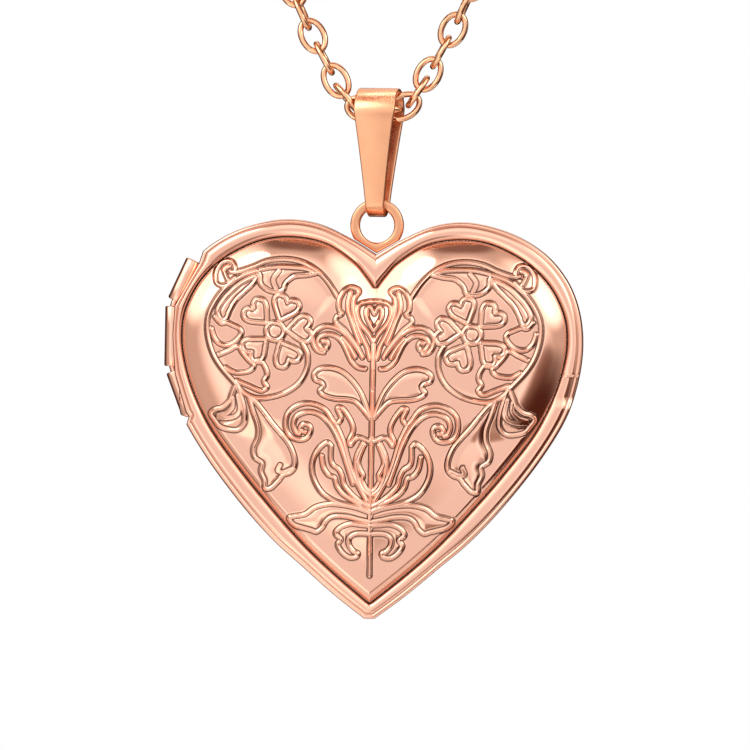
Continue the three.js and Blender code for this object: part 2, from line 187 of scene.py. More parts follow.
def enclosed_volume(points, faces):
    fans = [faces[:, [0, k, k + 1]] for k in range(1, faces.shape[1] - 1)]
    a, b, c = points[np.vstack(fans)].transpose(1, 0, 2)
    return (a * np.cross(b, c)).sum()


def mesh_piece(name, points, face_sets, material, sharp_above=None, marks=None):
    """A smooth mesh object from points in millimetres; every face set has one face size."""
    points = np.asarray(points, float)
    face_sets = [np.asarray(f, np.int32) for f in face_sets if len(f)]
    if sum(enclosed_volume(points, f) for f in face_sets) < 0:
        face_sets = [f[:, ::-1] for f in face_sets]
    sizes = np.concatenate([np.full(len(f), f.shape[1], np.int32) for f in face_sets])
    corners = np.concatenate([f.ravel() for f in face_sets])
    mesh = bpy.data.meshes.new(name)
    mesh.vertices.add(len(points))
    mesh.vertices.foreach_set("co", (points * MM).astype(np.float32).ravel())
    mesh.loops.add(len(corners))
    mesh.loops.foreach_set("vertex_index", corners)
    mesh.polygons.add(len(sizes))
    starts = np.concatenate([[0], np.cumsum(sizes)[:-1]])
    mesh.polygons.foreach_set("loop_start", starts.astype(np.int32))
    mesh.polygons.foreach_set("use_smooth", np.ones(len(sizes), bool))
    mesh.update(calc_edges=True)
    if sharp_above:
        mesh.set_sharp_from_angle(angle=math.radians(sharp_above))
    # The marks become the recess attribute, which sets painted shade and dullness in grooves and
    # hollows.
    if marks is not None:
        layer = mesh.attributes.new("recess", "FLOAT", "POINT")
        layer.data.foreach_set("value", np.asarray(marks, np.float32))
    mesh.materials.append(material)
    return new_object(name, mesh)


class Skin:
    """Rings of points, each skinned to the last; a ring may have half as many points."""

    def __init__(self):
        self.points, self.quads, self.tris, self.rings = [], [], [], []
        self.count = 0

    def add_points(self, points):
        self.points.append(points)
        self.count += len(points)
        return np.arange(self.count - len(points), self.count)

    def ring(self, points):
        here = self.add_points(np.asarray(points, float))
        if self.rings:
            self.join(self.rings[-1], here)
        self.rings.append(here)

    def join(self, a, b):
        if len(a) == len(b):
            self.quads.append(np.stack([a, np.roll(a, -1), np.roll(b, -1), b], axis=1))
        elif len(a) == 2 * len(b):
            self.step(a, b, turned=False)
        else:
            self.step(b, a, turned=True)

    def step(self, many, few, turned):
        """Joins a ring to one with half as many points."""
        a0, a1, a2 = many[0::2], many[1::2], np.roll(many[0::2], -1)
        after = np.roll(few, -1)
        corners = ([a0, a1, few], [a1, after, few], [a1, a2, after])
        made = np.vstack([np.stack(t, axis=1) for t in corners])
        self.tris.append(made[:, ::-1] if turned else made)

    def close(self):
        """Joins the last ring to the first."""
        self.join(self.rings[-1], self.rings[0])

    def cap(self, point, at_start=False):
        ring = self.rings[0 if at_start else -1]
        tip = np.full(len(ring), self.add_points(np.array([point], float))[0])
        edge = [np.roll(ring, -1), ring] if at_start else [ring, np.roll(ring, -1)]
        self.tris.append(np.stack([*edge, tip], axis=1))

    def piece(self, name, material, **more):
        sets = [np.vstack(s) for s in (self.quads, self.tris) if s]
        return mesh_piece(name, np.vstack(self.points), sets, material, **more)


def sweep(path, section, side, closed=False, scale=None):
    """Skins a 2-D section along a 3-D path; its second axis stays towards side."""
    if closed:
        ahead = np.roll(path, -1, axis=0) - np.roll(path, 1, axis=0)
    else:
        ahead = np.gradient(path, axis=0)
    ahead = ahead / np.linalg.norm(ahead, axis=1)[:, None]
    up = np.array(side, float) - (ahead @ np.array(side, float))[:, None] * ahead
    up = up / np.linalg.norm(up, axis=1)[:, None]
    across = np.cross(ahead, up)
    skin = Skin()
    sizes = np.ones(len(path)) if scale is None else scale
    for at, a, b, size in zip(path, across, up, sizes):
        skin.ring(at + size * (section[:, :1] * a + section[:, 1:] * b))
    if closed:
        skin.close()
    else:
        skin.cap(path[0], at_start=True)
        skin.cap(path[-1])
    return skin


def stands_for(piece, body, slot, *nodes):
    """Puts a piece in place of CAD nodes: it rides on their body and the nodes are hidden; slot is not
    used.
    """
    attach(piece, body)
    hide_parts(*nodes)
    return piece


# ---- materials ----------------------------------------------------------------------


def add_node(tree, kind, inputs=(), **settings):
    made = tree.nodes.new(kind)
    for key, value in settings.items():
        setattr(made, key, value)
    for key, value in dict(inputs).items():
        if isinstance(value, bpy.types.NodeSocket):
            tree.links.new(value, made.inputs[key])
        else:
            made.inputs[key].default_value = value
    return made


def new_material(name):
    material = bpy.data.materials.new(name)
    material.use_nodes = True
    tree = material.node_tree
    return material, tree, tree.nodes["Principled BSDF"]


def object_place(tree):
    return add_node(tree, "ShaderNodeTexCoord").outputs["Object"]


def connect(tree, shader, **sockets):
    """Feeds node outputs to the shader: base_color goes to Base Color, and so on."""
    for name, value in sockets.items():
        tree.links.new(value, shader.inputs[name.replace("_", " ").title()])


def bumps(tree, height, strength, distance_mm):
    inputs = {"Height": height, "Strength": strength, "Distance": distance_mm * MM}
    return add_node(tree, "ShaderNodeBump", inputs).outputs[0]


def noise(tree, place, size_mm, detail=3.0):
    """A noise value with features of that size."""
    inputs = {"Vector": place, "Scale": 1 / (size_mm * MM), "Detail": detail}
    return add_node(tree, "ShaderNodeTexNoise", inputs).outputs["Fac"]


def between(tree, value, low, high, start=0.3, end=0.7):
    inputs = {"Value": value, "From Min": start, "From Max": end, "To Min": low, "To Max": high}
    return add_node(tree, "ShaderNodeMapRange", inputs).outputs["Result"]


def math_node(tree, operation, a, b):
    return add_node(tree, "ShaderNodeMath", {0: a, 1: b}, operation=operation).outputs[0]


COLOUR_A, COLOUR_B, COLOUR_OUT = 6, 7, 2       # a Mix node's colour sockets


def mix_colours(tree, share, a, b):
    """Mixes two colours, each a socket or three numbers."""
    made = add_node(tree, "ShaderNodeMix", {"Factor": share}, data_type="RGBA")
    for key, value in ((COLOUR_A, a), (COLOUR_B, b)):
        if isinstance(value, bpy.types.NodeSocket):
            tree.links.new(value, made.inputs[key])
        else:
            made.inputs[key].default_value = (*value, 1)
    return made.outputs[COLOUR_OUT]


# Sizes of the gold's markings, in millimetres.
CLOUD_SIZE = 4.0
WEAR_SIZE = 1.3
HAIRLINE_SIZE = 0.05
HAIRLINE_TURN = (0.3, 0.5, 0.9)      # radians
HAIRLINE_STRETCH = (0.06, 1, 1)
RIPPLE_SIZE = 1.6
RIPPLE_HEIGHT = 0.006
RECESS_DULLNESS = 0.22               # added to the roughness


def plated_metal(name, colour, warm, painted_recess_shade, roughness):
    """Polished plating: cloudy tone, hairlines from handling, and painted shade darkening the recesses.
    """
    material, tree, shader = new_material(name)
    place = object_place(tree)
    cloud = between(tree, noise(tree, place, CLOUD_SIZE), 0.0, 0.5)
    tone = mix_colours(tree, cloud, colour, warm)
    recess = add_node(tree, "ShaderNodeAttribute", attribute_name="recess").outputs["Fac"]

    brushed = add_node(tree, "ShaderNodeMapping", {
        "Vector": place, "Rotation": HAIRLINE_TURN, "Scale": HAIRLINE_STRETCH}).outputs[0]
    hairlines = noise(tree, brushed, HAIRLINE_SIZE, 1.0)
    worn = noise(tree, place, WEAR_SIZE, 4.0)
    wear = between(tree, worn, roughness * 0.75, roughness * 1.35)
    fine = between(tree, hairlines, 0.0, 0.035, 0.55, 0.75)
    dull = math_node(tree, "MULTIPLY", recess, RECESS_DULLNESS)
    ripple = noise(tree, place, RIPPLE_SIZE, 1.0)
    surface = math_node(tree, "ADD", ripple, math_node(tree, "MULTIPLY", hairlines, 0.05))
    # The recess mask mixes painted shade into grooves and hollows, and also dulls them.
    connect(
        tree, shader, base_color=mix_colours(tree, recess, tone, painted_recess_shade),
        roughness=math_node(tree, "ADD", math_node(tree, "ADD", wear, fine), dull),
        normal=bumps(tree, surface, 0.25, RIPPLE_HEIGHT))
    shader.inputs["Metallic"].default_value = 1.0
    return material


def paper_card():
    material, tree, shader = new_material("photo_card_paper")
    fibre = noise(tree, object_place(tree), 0.15, 5.0)
    tone = mix_colours(tree, between(tree, fibre, 0, 1), (0.86, 0.82, 0.75), (0.93, 0.91, 0.86))
    connect(
        tree, shader, base_color=tone, roughness=between(tree, fibre, 0.8, 0.95),
        normal=bumps(tree, fibre, 0.5, 0.02))
    return material


def clear_plastic():
    material, tree, shader = new_material("clear_plastic_sheet")
    handled = noise(tree, object_place(tree), 2.5, 4.0)
    connect(
        tree, shader, roughness=between(tree, handled, 0.04, 0.14),
        normal=bumps(tree, handled, 0.2, 0.02))
    shader.inputs["Base Color"].default_value = (0.97, 0.98, 0.98, 1)
    shader.inputs["Transmission Weight"].default_value = 1.0
    shader.inputs["IOR"].default_value = 1.46
    return material


# The third colour of each finish is the painted shade that its recesses are darkened towards.
ROSE_GOLD = plated_metal(
    "rose_gold_plate", (0.93, 0.55, 0.42), (0.91, 0.51, 0.38), (0.05, 0.015, 0.01), 0.09)
PEACH_GOLD = plated_metal(
    "peach_gold_plate", (0.92, 0.55, 0.34), (0.90, 0.50, 0.29), (0.16, 0.06, 0.03), 0.11)
SATIN_GOLD = plated_metal(
    "satin_peach_gold", (0.8, 0.405, 0.235), (0.78, 0.38, 0.215), (0.16, 0.06, 0.03), 0.26)
STEEL = plated_metal("spring_steel", (0.55, 0.56, 0.58), (0.48, 0.48, 0.5), (0.1, 0.1, 0.1), 0.25)
PAPER = paper_card()
CLEAR = clear_plastic()

# ---- camera -------------------------------------------------------------------------

VIEW_AZIMUTH = 2.0          # degrees, towards the right of the face
VIEW_ELEVATION = 1.0
VIEW_ROLL = 1.06
VIEW_DISTANCE = 500
VIEW_WIDTH = 52.1           # millimetres across the picture at the front of the locket
VIEW_TARGET = np.array([0.155, -3.3, 3.1 + ZERO_LEVEL])
SENSOR = 36


def direction_of(azimuth, elevation):
    """Azimuth 0 is the viewer's side and 90 the right, in degrees."""
    a, e = math.radians(azimuth), math.radians(elevation)
    return (math.sin(a) * math.cos(e), -math.cos(a) * math.cos(e), math.sin(e))


def make_camera():
    data = bpy.data.cameras.new("photo_camera")
    data.sensor_width = SENSOR
    data.lens = SENSOR * VIEW_DISTANCE / VIEW_WIDTH
    data.clip_start, data.clip_end = 0.01, 20
    camera = new_object("photo_camera", data)
    back = Vector(direction_of(VIEW_AZIMUTH, VIEW_ELEVATION))
    aim = (-back).to_track_quat("-Z", "Y").to_matrix().to_4x4()
    place = Vector(VIEW_TARGET * MM) + back * VIEW_DISTANCE * MM
    roll = Matrix.Rotation(math.radians(VIEW_ROLL), 4, "Z")
    camera.matrix_world = Matrix.Translation(place) @ aim @ roll
    bpy.context.scene.camera = camera


make_camera()

# ---- chain --------------------------------------------------------------------------

# Below the coil: down on the left, level through the bail and up on the right. In metres.
STRAND_ROUTE = [
    (-0.00744, 0.00095, -0.01098), (-0.00695, 0.00088, -0.0121), (-0.0065, 0.00082, -0.01313),
    (-0.00587, 0.0007, -0.0146), (-0.0053, 0.00058, -0.01586), (-0.0047, 0.00044, -0.01705),
    (-0.00405, 0.00028, -0.01827), (-0.0035, 0.00016, -0.01925), (-0.003, 0.00008, -0.02014),
    (-0.0025, 0.00003, -0.02096), (-0.00195, 0, -0.0216), (-0.0013, 0, -0.02194),
    (-0.0005, 0, -0.022), (0.0005, 0, -0.022), (0.0013, 0, -0.02194), (0.00195, 0, -0.0216),
    (0.0025, -0.00003, -0.02096), (0.003, -0.00008, -0.02014), (0.0035, -0.00016, -0.01925),
    (0.00405, -0.00028, -0.01827), (0.0047, -0.00044, -0.01705), (0.0053, -0.00058, -0.01586),
    (0.00587, -0.0007, -0.0146), (0.0065, -0.00082, -0.01313), (0.00695, -0.00088, -0.0121),
    (0.00744, -0.00095, -0.01098),
]
STRAND_ANGLE = 23.5         # degrees below the peg's level where each strand leaves the coil
FACING_LINK_LEFT = (-3.07, 0.08, -20.0)       # middles of the two links that face the viewer
FACING_LINK_RIGHT = (3.41, -0.14, -19.5)      # on either side of the bail
LINKS_BETWEEN = 6
RING_HOLD = 0.68            # from a ring's wire to the middle of the link on it
LINK_TWIST = 0.12           # radians, so that no two links lie quite alike


def turns(start, end, radii, ys, step=15):
    """Points round the peg from one angle to another, in degrees, with radius and y blended."""
    share = np.linspace(0, 1, max(2, round(abs(end - start) / step)) + 1)
    angle = np.radians(start + (end - start) * share)
    radius = radii[0] + (radii[1] - radii[0]) * smooth(share)
    y = ys[0] + (ys[1] - ys[0]) * share
    return np.stack([radius * np.cos(angle), y, radius * np.sin(angle)], axis=1)


def ring_far_side(node, direction):
    """The middle of a jump ring's wire, on its left (-1) or right (1)."""
    low, high = box_mm(node)
    middle = (low + high) / 2
    return middle + np.array([direction * RING_RADIUS, 0, 0])


def chain_route():
    """The whole chain, from the ring in the clasp's tail to the end ring."""
    start, end = ring_far_side("clasp_ring", -1), ring_far_side("end_ring", 1)
    leaves = 5 * 360 + 180 + STRAND_ANGLE
    joins = -STRAND_ANGLE
    parts = [
        start[None, :],
        turns(122, 142, (14.3, 13.5), (-4.8, -6.6), 10),
        turns(152, 172, (12.6, COIL_OUTER), (-7, -7), 10),
        turns(187, 471, (COIL_OUTER, COIL_OUTER), (-7, -7)),
        turns(486, 501, (10.4, COIL_INNER), (-7, -7)),
        turns(516, 1941, (COIL_INNER, COIL_INNER), (-6.9, 1)),
        turns(1956, 1980, (9.8, COIL_OUTER), (1, 1), 12),
        turns(1992, leaves, (COIL_OUTER, COIL_OUTER), (1, 1), 6),
        np.array(STRAND_ROUTE) / MM,
        turns(joins, joins + 800, (COIL_OUTER, COIL_OUTER), (-1, -5)),
        turns(joins + 805, joins + 810, (12.2, 13.5), (-4.7, -4.3)),
        end[None, :],
    ]
    return catmull(np.vstack(parts), per_span=8)


def link_stations(route):
    """Distances along the route of the links' middles: taut, but slack inside the bail."""
    along = distances_along(route)
    left, right = (
        along[np.linalg.norm(route - np.array(point), axis=1).argmin()]
        for point in (FACING_LINK_LEFT, FACING_LINK_RIGHT)
    )
    before = round((left - RING_HOLD) / LINK_PITCH)
    after = round((along[-1] - RING_HOLD - right) / LINK_PITCH)
    stations = np.concatenate([
        np.linspace(RING_HOLD, left, before + 1),
        np.linspace(left, right, LINKS_BETWEEN + 1)[1:],
        np.linspace(right, along[-1] - RING_HOLD, after + 1)[1:],
    ])
    return stations, before


def make_chain():
    route = chain_route()
    stations, first_facing = link_stations(route)
    middles = points_at(route, stations)
    reach = LINK_PITCH / 2
    ahead = points_at(route, stations + reach) - points_at(route, stations - reach)
    ahead /= np.linalg.norm(ahead, axis=1)[:, None]
    facing = np.array([0, 1.0, 0]) - ahead[:, 1:2] * ahead
    facing /= np.linalg.norm(facing, axis=1)[:, None]
    across = np.cross(ahead, facing)
    turn = np.where((np.arange(len(stations)) - first_facing) % 2 == 0, 0, math.pi / 2)
    turn = turn + LINK_TWIST * np.sin(2.4 * np.arange(len(stations)))
    wide = np.cos(turn)[:, None] * across + np.sin(turn)[:, None] * facing
    thick = np.cross(ahead, wide)

    angle = np.linspace(0, 2 * math.pi, LINK_STEPS, endpoint=False)
    half_long, half_wide = (LINK_LENGTH - LINK_WIRE) / 2, (LINK_WIDTH - LINK_WIRE) / 2
    oval = np.stack([half_long * np.cos(angle), half_wide * np.sin(angle)], axis=1)
    normal = np.stack([half_wide * np.cos(angle), half_long * np.sin(angle)], axis=1)
    normal /= np.linalg.norm(normal, axis=1)[:, None]
    wire = circle(LINK_WIRE / 2, LINK_SIDES)
    link = np.concatenate([
        oval[:, None, :] + wire[None, :, :1] * normal[:, None, :],
        np.broadcast_to(wire[None, :, 1:], (LINK_STEPS, LINK_SIDES, 1)),
    ], axis=2).reshape(-1, 3)
    axes = np.stack([ahead, wide, thick], axis=1)
    points = middles[:, None, :] + link @ axes

    index = np.arange(len(link)).reshape(LINK_STEPS, LINK_SIDES)
    onward, round_wire = np.roll(index, -1, axis=0), np.roll(index, -1, axis=1)
    faces = np.stack([index, onward, np.roll(onward, -1, axis=1), round_wire], axis=-1)
    shift = np.arange(len(stations))[:, None, None] * len(link)
    faces = (faces.reshape(-1, 4) + shift).reshape(-1, 4)
    chain = mesh_piece("cable_chain", points.reshape(-1, 3), [faces], PEACH_GOLD)
    stands_for(chain, "chain", "peach_gold", "chain_strands", "chain_coil")
    return chain, spaced(route, 600) * MM


chain, chain_path = make_chain()

# ---- heart outlines: right half, from the notch down to the tip ------------------------

OUTER_HALF = [
    (0, 11.45), (1.8, 12.52), (3.9, 13.48), (5.95, 13.82), (8, 13.55), (10.2, 12.75),
    (12.1, 11.45), (13.55, 9.6), (14.35, 7.4), (14.55, 5), (14.2, 2.5), (13.35, 0),
    (11.45, -3.1), (8.95, -6.3), (6.8, -8.6), (4.85, -10.3), (2.4, -12.4), (0.35, -13.95),
]
GROOVE_HALF = [
    (0, 9.1), (0.6, 9.95), (1.5, 10.95), (3.4, 12.15), (5.7, 12.6), (8, 12.33), (10.35, 11.2),
    (12.1, 9.6), (13.2, 7.5), (13.45, 5.5), (13.15, 3.5), (12.45, 1.4), (11.2, -1),
    (9.1, -3.8), (7.6, -5.6), (6.1, -7.3), (4.4, -9.1), (2.3, -11), (0.06, -12.85),
]
# The hinge side of both covers is cut back to this line, which leaves room for the knuckles.
HINGE_POCKET = [
    (-12.02, 12.6), (-12.02, 11.66), (-12.35, 10.6), (-14, 7.6), (-14.1, 5.6), (-13.9, 2.9),
    (-13.08, 0.2), (-12.86, -0.1), (-13, -0.6),
]


def closed_heart(half, spokes):
    """The whole outline, with points at the notch and in the middle of the blunt tip."""
    right = spaced(catmull(half), spokes // 2)
    tip = np.array([[0, right[-1, 1]]])
    return np.vstack([right, tip, right[:0:-1] * [-1, 1]])


def cut_back(outline):
    """Moves the hinge side of an outline to the pocket's line."""
    line = np.array(HINGE_POCKET)[::-1]
    limit = np.interp(outline[:, 1], line[:, 1], line[:, 0])
    at_hinge = (outline[:, 0] < 0) & (outline[:, 1] > line[0, 1]) & (outline[:, 1] < line[-1, 1])
    moved = outline.copy()
    moved[:, 0] = np.where(at_hinge, np.maximum(outline[:, 0], limit), outline[:, 0])
    return moved


class Heart:
    """The rings that a heart-shaped piece is skinned from, with a given number of spokes."""

    def __init__(self, spokes, hinged=False):
        self.outer = closed_heart(OUTER_HALF, spokes)
        self.groove = closed_heart(GROOVE_HALF, spokes)
        if hinged:
            self.outer = cut_back(self.outer)
        self.width = np.linalg.norm(self.outer - self.groove, axis=1)
        self.scale = np.minimum(1, self.width / RIM_WIDTH)

    def rim(self, share):
        return self.outer + (self.groove - self.outer) * np.reshape(share, (-1, 1))

    def rim_share(self, measured_from, amount):
        """How far across the rim each spoke has got, from 0 at its edge to 1 at the groove."""
        if measured_from == "share":
            return np.full(len(self.outer), amount)
        from_edge = amount * self.scale / self.width
        return from_edge if measured_from == "edge" else 1 - from_edge

    def inner(self, share):
        return self.groove + (HEART_CENTRE - self.groove) * share


def placed(uv, depth, side):
    """Points of the drawing at a depth in front of (-1) or behind (1) the seam plane."""
    y = np.broadcast_to(side * depth, len(uv))
    return np.stack([uv[:, 0], y, uv[:, 1] + ZERO_LEVEL], axis=1)


def middle_point(depth, side):
    return (HEART_CENTRE[0], side * depth, HEART_CENTRE[1] + ZERO_LEVEL)


# ---- ornament: right half, mirrored when it is raised ---------------------------------

RIDGE = 0.13                # half width of a raised line
RIDGE_HEIGHT = 0.11
CHASING = 0.12              # width of the groove along each side of it
CHASING_DEPTH = 0.03
PUFF = 0.14                 # how far a closed leaf bulges
PUFF_EDGE = 0.75
LINE_REACH = 0.4            # margin round a line's box: its ridge and grooves end within it
FAR_AWAY = 9.0

OPEN_LINES = {
    "cup_heart": [(0, 7.35), (0.2, 7.75), (0.5, 7.7), (0.5, 7.1), (0.2, 6.5), (0, 6.2)],
    "scroll_lower": [
        (4.9, 5.15), (4.55, 4.4), (4.6, 3.4), (5.1, 2.45), (6.05, 1.75), (7.15, 1.4), (8.15, 1.35),
        (9.05, 1.75), (9.75, 2.5), (10.65, 3.5), (11.25, 4.5), (11.6, 5.8), (11.55, 7), (11.05, 8.1),
        (10.25, 9.1), (9.25, 9.8), (8.15, 10.2)],
    "scroll_top": [
        (2.6, 8.5), (3.25, 9.5), (4.05, 10.3), (5.05, 10.85), (6.25, 11.05), (7.45, 10.9),
        (8.55, 10.45), (9.45, 10.15), (10.1, 10.1)],
    "top_leaf_vein": [
        (6.65, 10.2), (7.05, 9.6), (6.85, 9)],
    "corner_curl": [
        (9.75, 10.1), (9.85, 10.6), (10.15, 10.85), (10.65, 10.8), (11, 10.4), (11.15, 9.9),
        (11.05, 9.3), (10.65, 9.1), (10.25, 9.2), (9.75, 9.7)],
    "corner_curl_inner": [
        (10.2, 10.5), (10.55, 10.3), (10.45, 9.9), (10.25, 9.5)],
    "side_leaf": [
        (11.05, 6.9), (10.65, 6.5), (10.25, 6.55), (9.85, 6.4), (9.35, 6.15), (9.2, 5.8),
        (9.5, 5.35), (9.95, 5.05), (10.55, 5), (11.05, 5.4), (11.3, 6.1)],
    "low_leaf": [
        (10.75, 4.3), (10.05, 4.6), (9.45, 4.9), (9.05, 4.4), (8.65, 3.95), (8.3, 3.6), (8.5, 3.25),
        (9.05, 3.1), (9.65, 3.1), (10.25, 3.4)],
    "low_leaf_two": [
        (8.45, 3.8), (7.9, 3.95), (7.5, 3.5), (7.35, 2.95), (7.55, 2.5), (7.35, 2.1), (7.75, 1.85),
        (8.55, 2.15), (9.45, 2.5)],
    "tulip_cup": [
        (0.05, 8.2), (0.55, 8.15), (1.05, 7.95), (1.2, 7.5), (1.1, 7), (0.9, 6.6), (0.55, 6.2),
        (0.25, 5.8), (0.05, 5.4)],
    "tulip_petal": [
        (0.25, 4.2), (0.45, 5), (0.85, 5.8), (1.15, 6.5), (1.4, 7.3), (1.45, 8), (1.35, 8.5),
        (1.1, 8.85), (1.25, 9.05), (1.65, 9.15), (2.05, 8.95), (2.3, 8.6), (2.45, 8.2), (2.45, 7.6),
        (2.25, 7.3), (2.55, 7.1), (2.65, 6.75), (2.4, 6.5), (2.05, 6.2), (1.65, 5.7), (1.25, 5.2),
        (0.95, 4.7), (0.75, 4.3)],
    "tulip_petal_vein": [
        (1.65, 8.8), (1.8, 8.2), (1.8, 7.5), (1.55, 6.8), (1.25, 6), (0.95, 5.3)],
    "spiral": [
        (0.55, 3.5), (1.05, 3.6), (1.5, 4), (1.8, 4.6), (2.1, 5.2), (2.55, 5.7), (3.1, 5.87),
        (3.65, 5.7), (3.85, 5.3), (3.65, 4.92), (3.3, 4.85), (3.15, 5.1), (3.25, 5.4), (3.5, 5.35)],
    "spiral_outer": [
        (0.9, 4.6), (1.35, 5.2), (1.95, 5.9), (2.55, 6.3), (3.25, 6.45), (3.85, 6.2), (4.2, 5.7),
        (4.15, 5.1), (3.85, 4.7), (3.45, 4.6)],
    "spiral_inner": [
        (1.25, 4.3), (1.65, 5), (2.15, 5.6)],
    "c_scroll": [
        (2.75, -0.1), (3.35, 0.7), (4.35, 1.05), (5.25, 0.85), (5.85, 0.3), (6, -0.5), (5.75, -1.2),
        (5.15, -1.5), (4.55, -1.4), (4.25, -0.9), (4.35, -0.5), (4.75, -0.4), (5, -0.8),
        (4.65, -0.95)],
    "c_stem": [
        (0.25, -5.7), (1.05, -4.3), (1.55, -3), (1.95, -1.6), (2.45, -0.5), (2.75, -0.1)],
    "c_scroll_inner": [
        (1.25, -4.5), (1.75, -3), (2.25, -1.6), (2.85, -0.5), (3.55, 0.2), (4.35, 0.45), (5.15, 0.2),
        (5.45, -0.4), (5.3, -0.95), (5.05, -1.1)],
    "c_curl": [
        (2.45, -0.3), (2.25, -0.2), (2.15, 0.1), (2.4, 0.7), (2.1, 0.75), (1.65, 0.2), (1.35, -0.4),
        (1.3, -0.9), (1.55, -1.5), (1.45, -1.8), (1.15, -1.4), (0.85, -1.25), (0.45, -1.4),
        (0.15, -1.5)],
    "low_tulip_inner": [
        (0.5, -1.8), (0.75, -2.4), (0.9, -3), (0.75, -3.5), (0.55, -3.9), (0.6, -4.3), (0.35, -4.8),
        (0.1, -5)],
    "low_tulip_outer": [
        (0.6, -1.7), (1, -2.6), (1.05, -3.4), (0.9, -4.2), (0.55, -4.9), (0.1, -5.25)],
    "tall_leaf": [
        (2.8, -1.9), (3.1, -1.65), (3.65, -2.1), (4.05, -2.9), (4.1, -3.7), (3.85, -4.5),
        (3.35, -5.2), (2.55, -5.7), (1.55, -6), (0.55, -6.2), (0.05, -6.4)],
    "tall_leaf_inner": [
        (2.8, -1.95), (2.8, -2.8), (2.65, -3.2), (2.25, -3.5), (2, -4), (1.85, -4.6), (1.35, -5.2),
        (0.75, -5.7), (0.1, -6.05)],
    "tall_leaf_vein": [
        (3.45, -2.6), (3.3, -3.4), (2.95, -3.9), (2.55, -4.1), (2.35, -4.7), (1.95, -5.2),
        (1.35, -5.6), (0.65, -5.95)],
    "tail_leaf_inner": [
        (9.35, 1.5), (9.2, 0.6), (9.45, 0.1), (10.05, -0.1), (10.75, -0.1)],
    "tail_leaf_vein": [
        (9.75, 1.3), (9.75, 0.7), (10.15, 0.25), (10.75, 0.05)],
    "hanging_leaf_hook": [
        (6.35, -3.3), (6.5, -3.7), (6.1, -3.8), (5.55, -3.55)],
}
CLOSED_LEAVES = {
    "top_leaf": [
        (4.05, 10.1), (4.75, 10.4), (5.75, 10.5), (6.75, 10.5), (7.45, 10.4), (8.05, 10.2), (8, 9.8),
        (7.95, 9.3), (7.65, 9), (7.25, 8.8), (6.75, 8.75), (6.35, 8.9), (6.25, 9.2), (6.05, 9.5),
        (5.55, 9.85), (4.75, 9.95), (4.05, 10.1)],
    "crescent": [
        (8.15, 9.8), (8.45, 9.3), (9.05, 8.7), (9.65, 8.1), (10.05, 7.4), (10.3, 6.8), (10.65, 6.75),
        (10.9, 7.2), (10.75, 7.7), (10.25, 8.4), (9.35, 9.25), (8.45, 9.75), (8.15, 9.8)],
    "mid_leaf": [
        (0.15, 0.1), (0.45, 1), (0.85, 1.9), (1.45, 2.7), (2.15, 3.3), (2.95, 3.55), (3.65, 3.45),
        (4.05, 3.1), (4, 2.7), (3.55, 2.5), (3.45, 2.2), (3.65, 1.9), (3.35, 1.6), (2.65, 1.4),
        (1.75, 1.35), (1.15, 1.2), (0.65, 0.7), (0.15, 0.1)],
    "tail_leaf": [
        (9.45, 2.4), (9.8, 1.6), (10, 1.1), (10.45, 0.65), (11.05, 0.45), (11.3, 0.15), (11, -0.3),
        (10.65, -0.7), (10.05, -0.9), (9.35, -0.9), (8.95, -0.5), (8.85, 0), (8.95, 0.7),
        (9.15, 1.4), (9.45, 2.4)],
    "hanging_leaf": [
        (8.6, 1.4), (8.25, 0.3), (7.95, -0.6), (7.95, -1.4), (8.25, -2.2), (8.15, -2.8),
        (7.65, -3.2), (7.7, -3.8), (7.45, -4.4), (7.4, -4.95), (6.95, -4.9), (6.45, -4.4),
        (6.15, -4), (5.65, -3.8), (5.35, -3.4), (5.35, -2.8), (5.65, -2), (6.15, -1.3), (6.85, -0.5),
        (7.55, 0.4), (8.15, 1.1), (8.6, 1.4)],
    "side_frond": [
        (0, -6.5), (0.85, -6.2), (1.85, -6), (2.85, -5.95), (3.85, -6.2), (4.55, -6.7),
        (5.25, -6.85), (5.7, -7), (5.35, -7.45), (4.55, -7.7), (4.15, -7.8), (3.75, -7.9),
        (3.35, -7.6), (3.05, -7.1), (2.55, -6.8), (1.65, -6.8), (0.75, -7), (0, -7.15)],
    "down_curl": [
        (0, -7.4), (0.65, -7.35), (1.35, -7.3), (2.05, -7.55), (2.4, -8), (2.05, -8.4), (2.25, -8.8),
        (1.95, -9.3), (1.45, -9.65), (0.95, -9.6), (0.85, -9.35), (1.15, -9.2), (1.45, -8.8),
        (1.45, -8.3), (1.05, -8), (0.45, -7.95), (0, -8)],
}
FLOWER = np.array([6.85, 6.0])
FLOWER_DISC = 0.62
PETAL_ANGLES = (45, 112, 174, 243, 318)
MIDDLE_STEM = [(0, 5.6), (0, -10.9)]
PETAL = [(0.8, 0), (1.25, 0.4), (1.75, 0.8), (2.2, 0.9), (2.5, 0.6), (2.45, 0.25), (2.2, 0)]


def petal_outline(angle):
    """A heart-shaped petal that points away from the flower's middle."""
    half = catmull(PETAL)
    whole = np.vstack([half, half[::-1] * [1, -1]])
    c, s = math.cos(math.radians(angle)), math.sin(math.radians(angle))
    return FLOWER + whole @ np.array([[c, s], [-s, c]])


def ornament_lines():
    """Every raised line of the right half as (polyline, whether it bounds a puffed leaf)."""
    made = [(catmull(points), False) for points in OPEN_LINES.values()]
    made += [(catmull(points), True) for points in CLOSED_LEAVES.values()]
    made += [(petal_outline(angle), True) for angle in PETAL_ANGLES]
    disc = FLOWER + circle(FLOWER_DISC, 40)
    made.append((np.vstack([disc, disc[:1]]), True))
    made.append((np.array(MIDDLE_STEM), False))
    return made


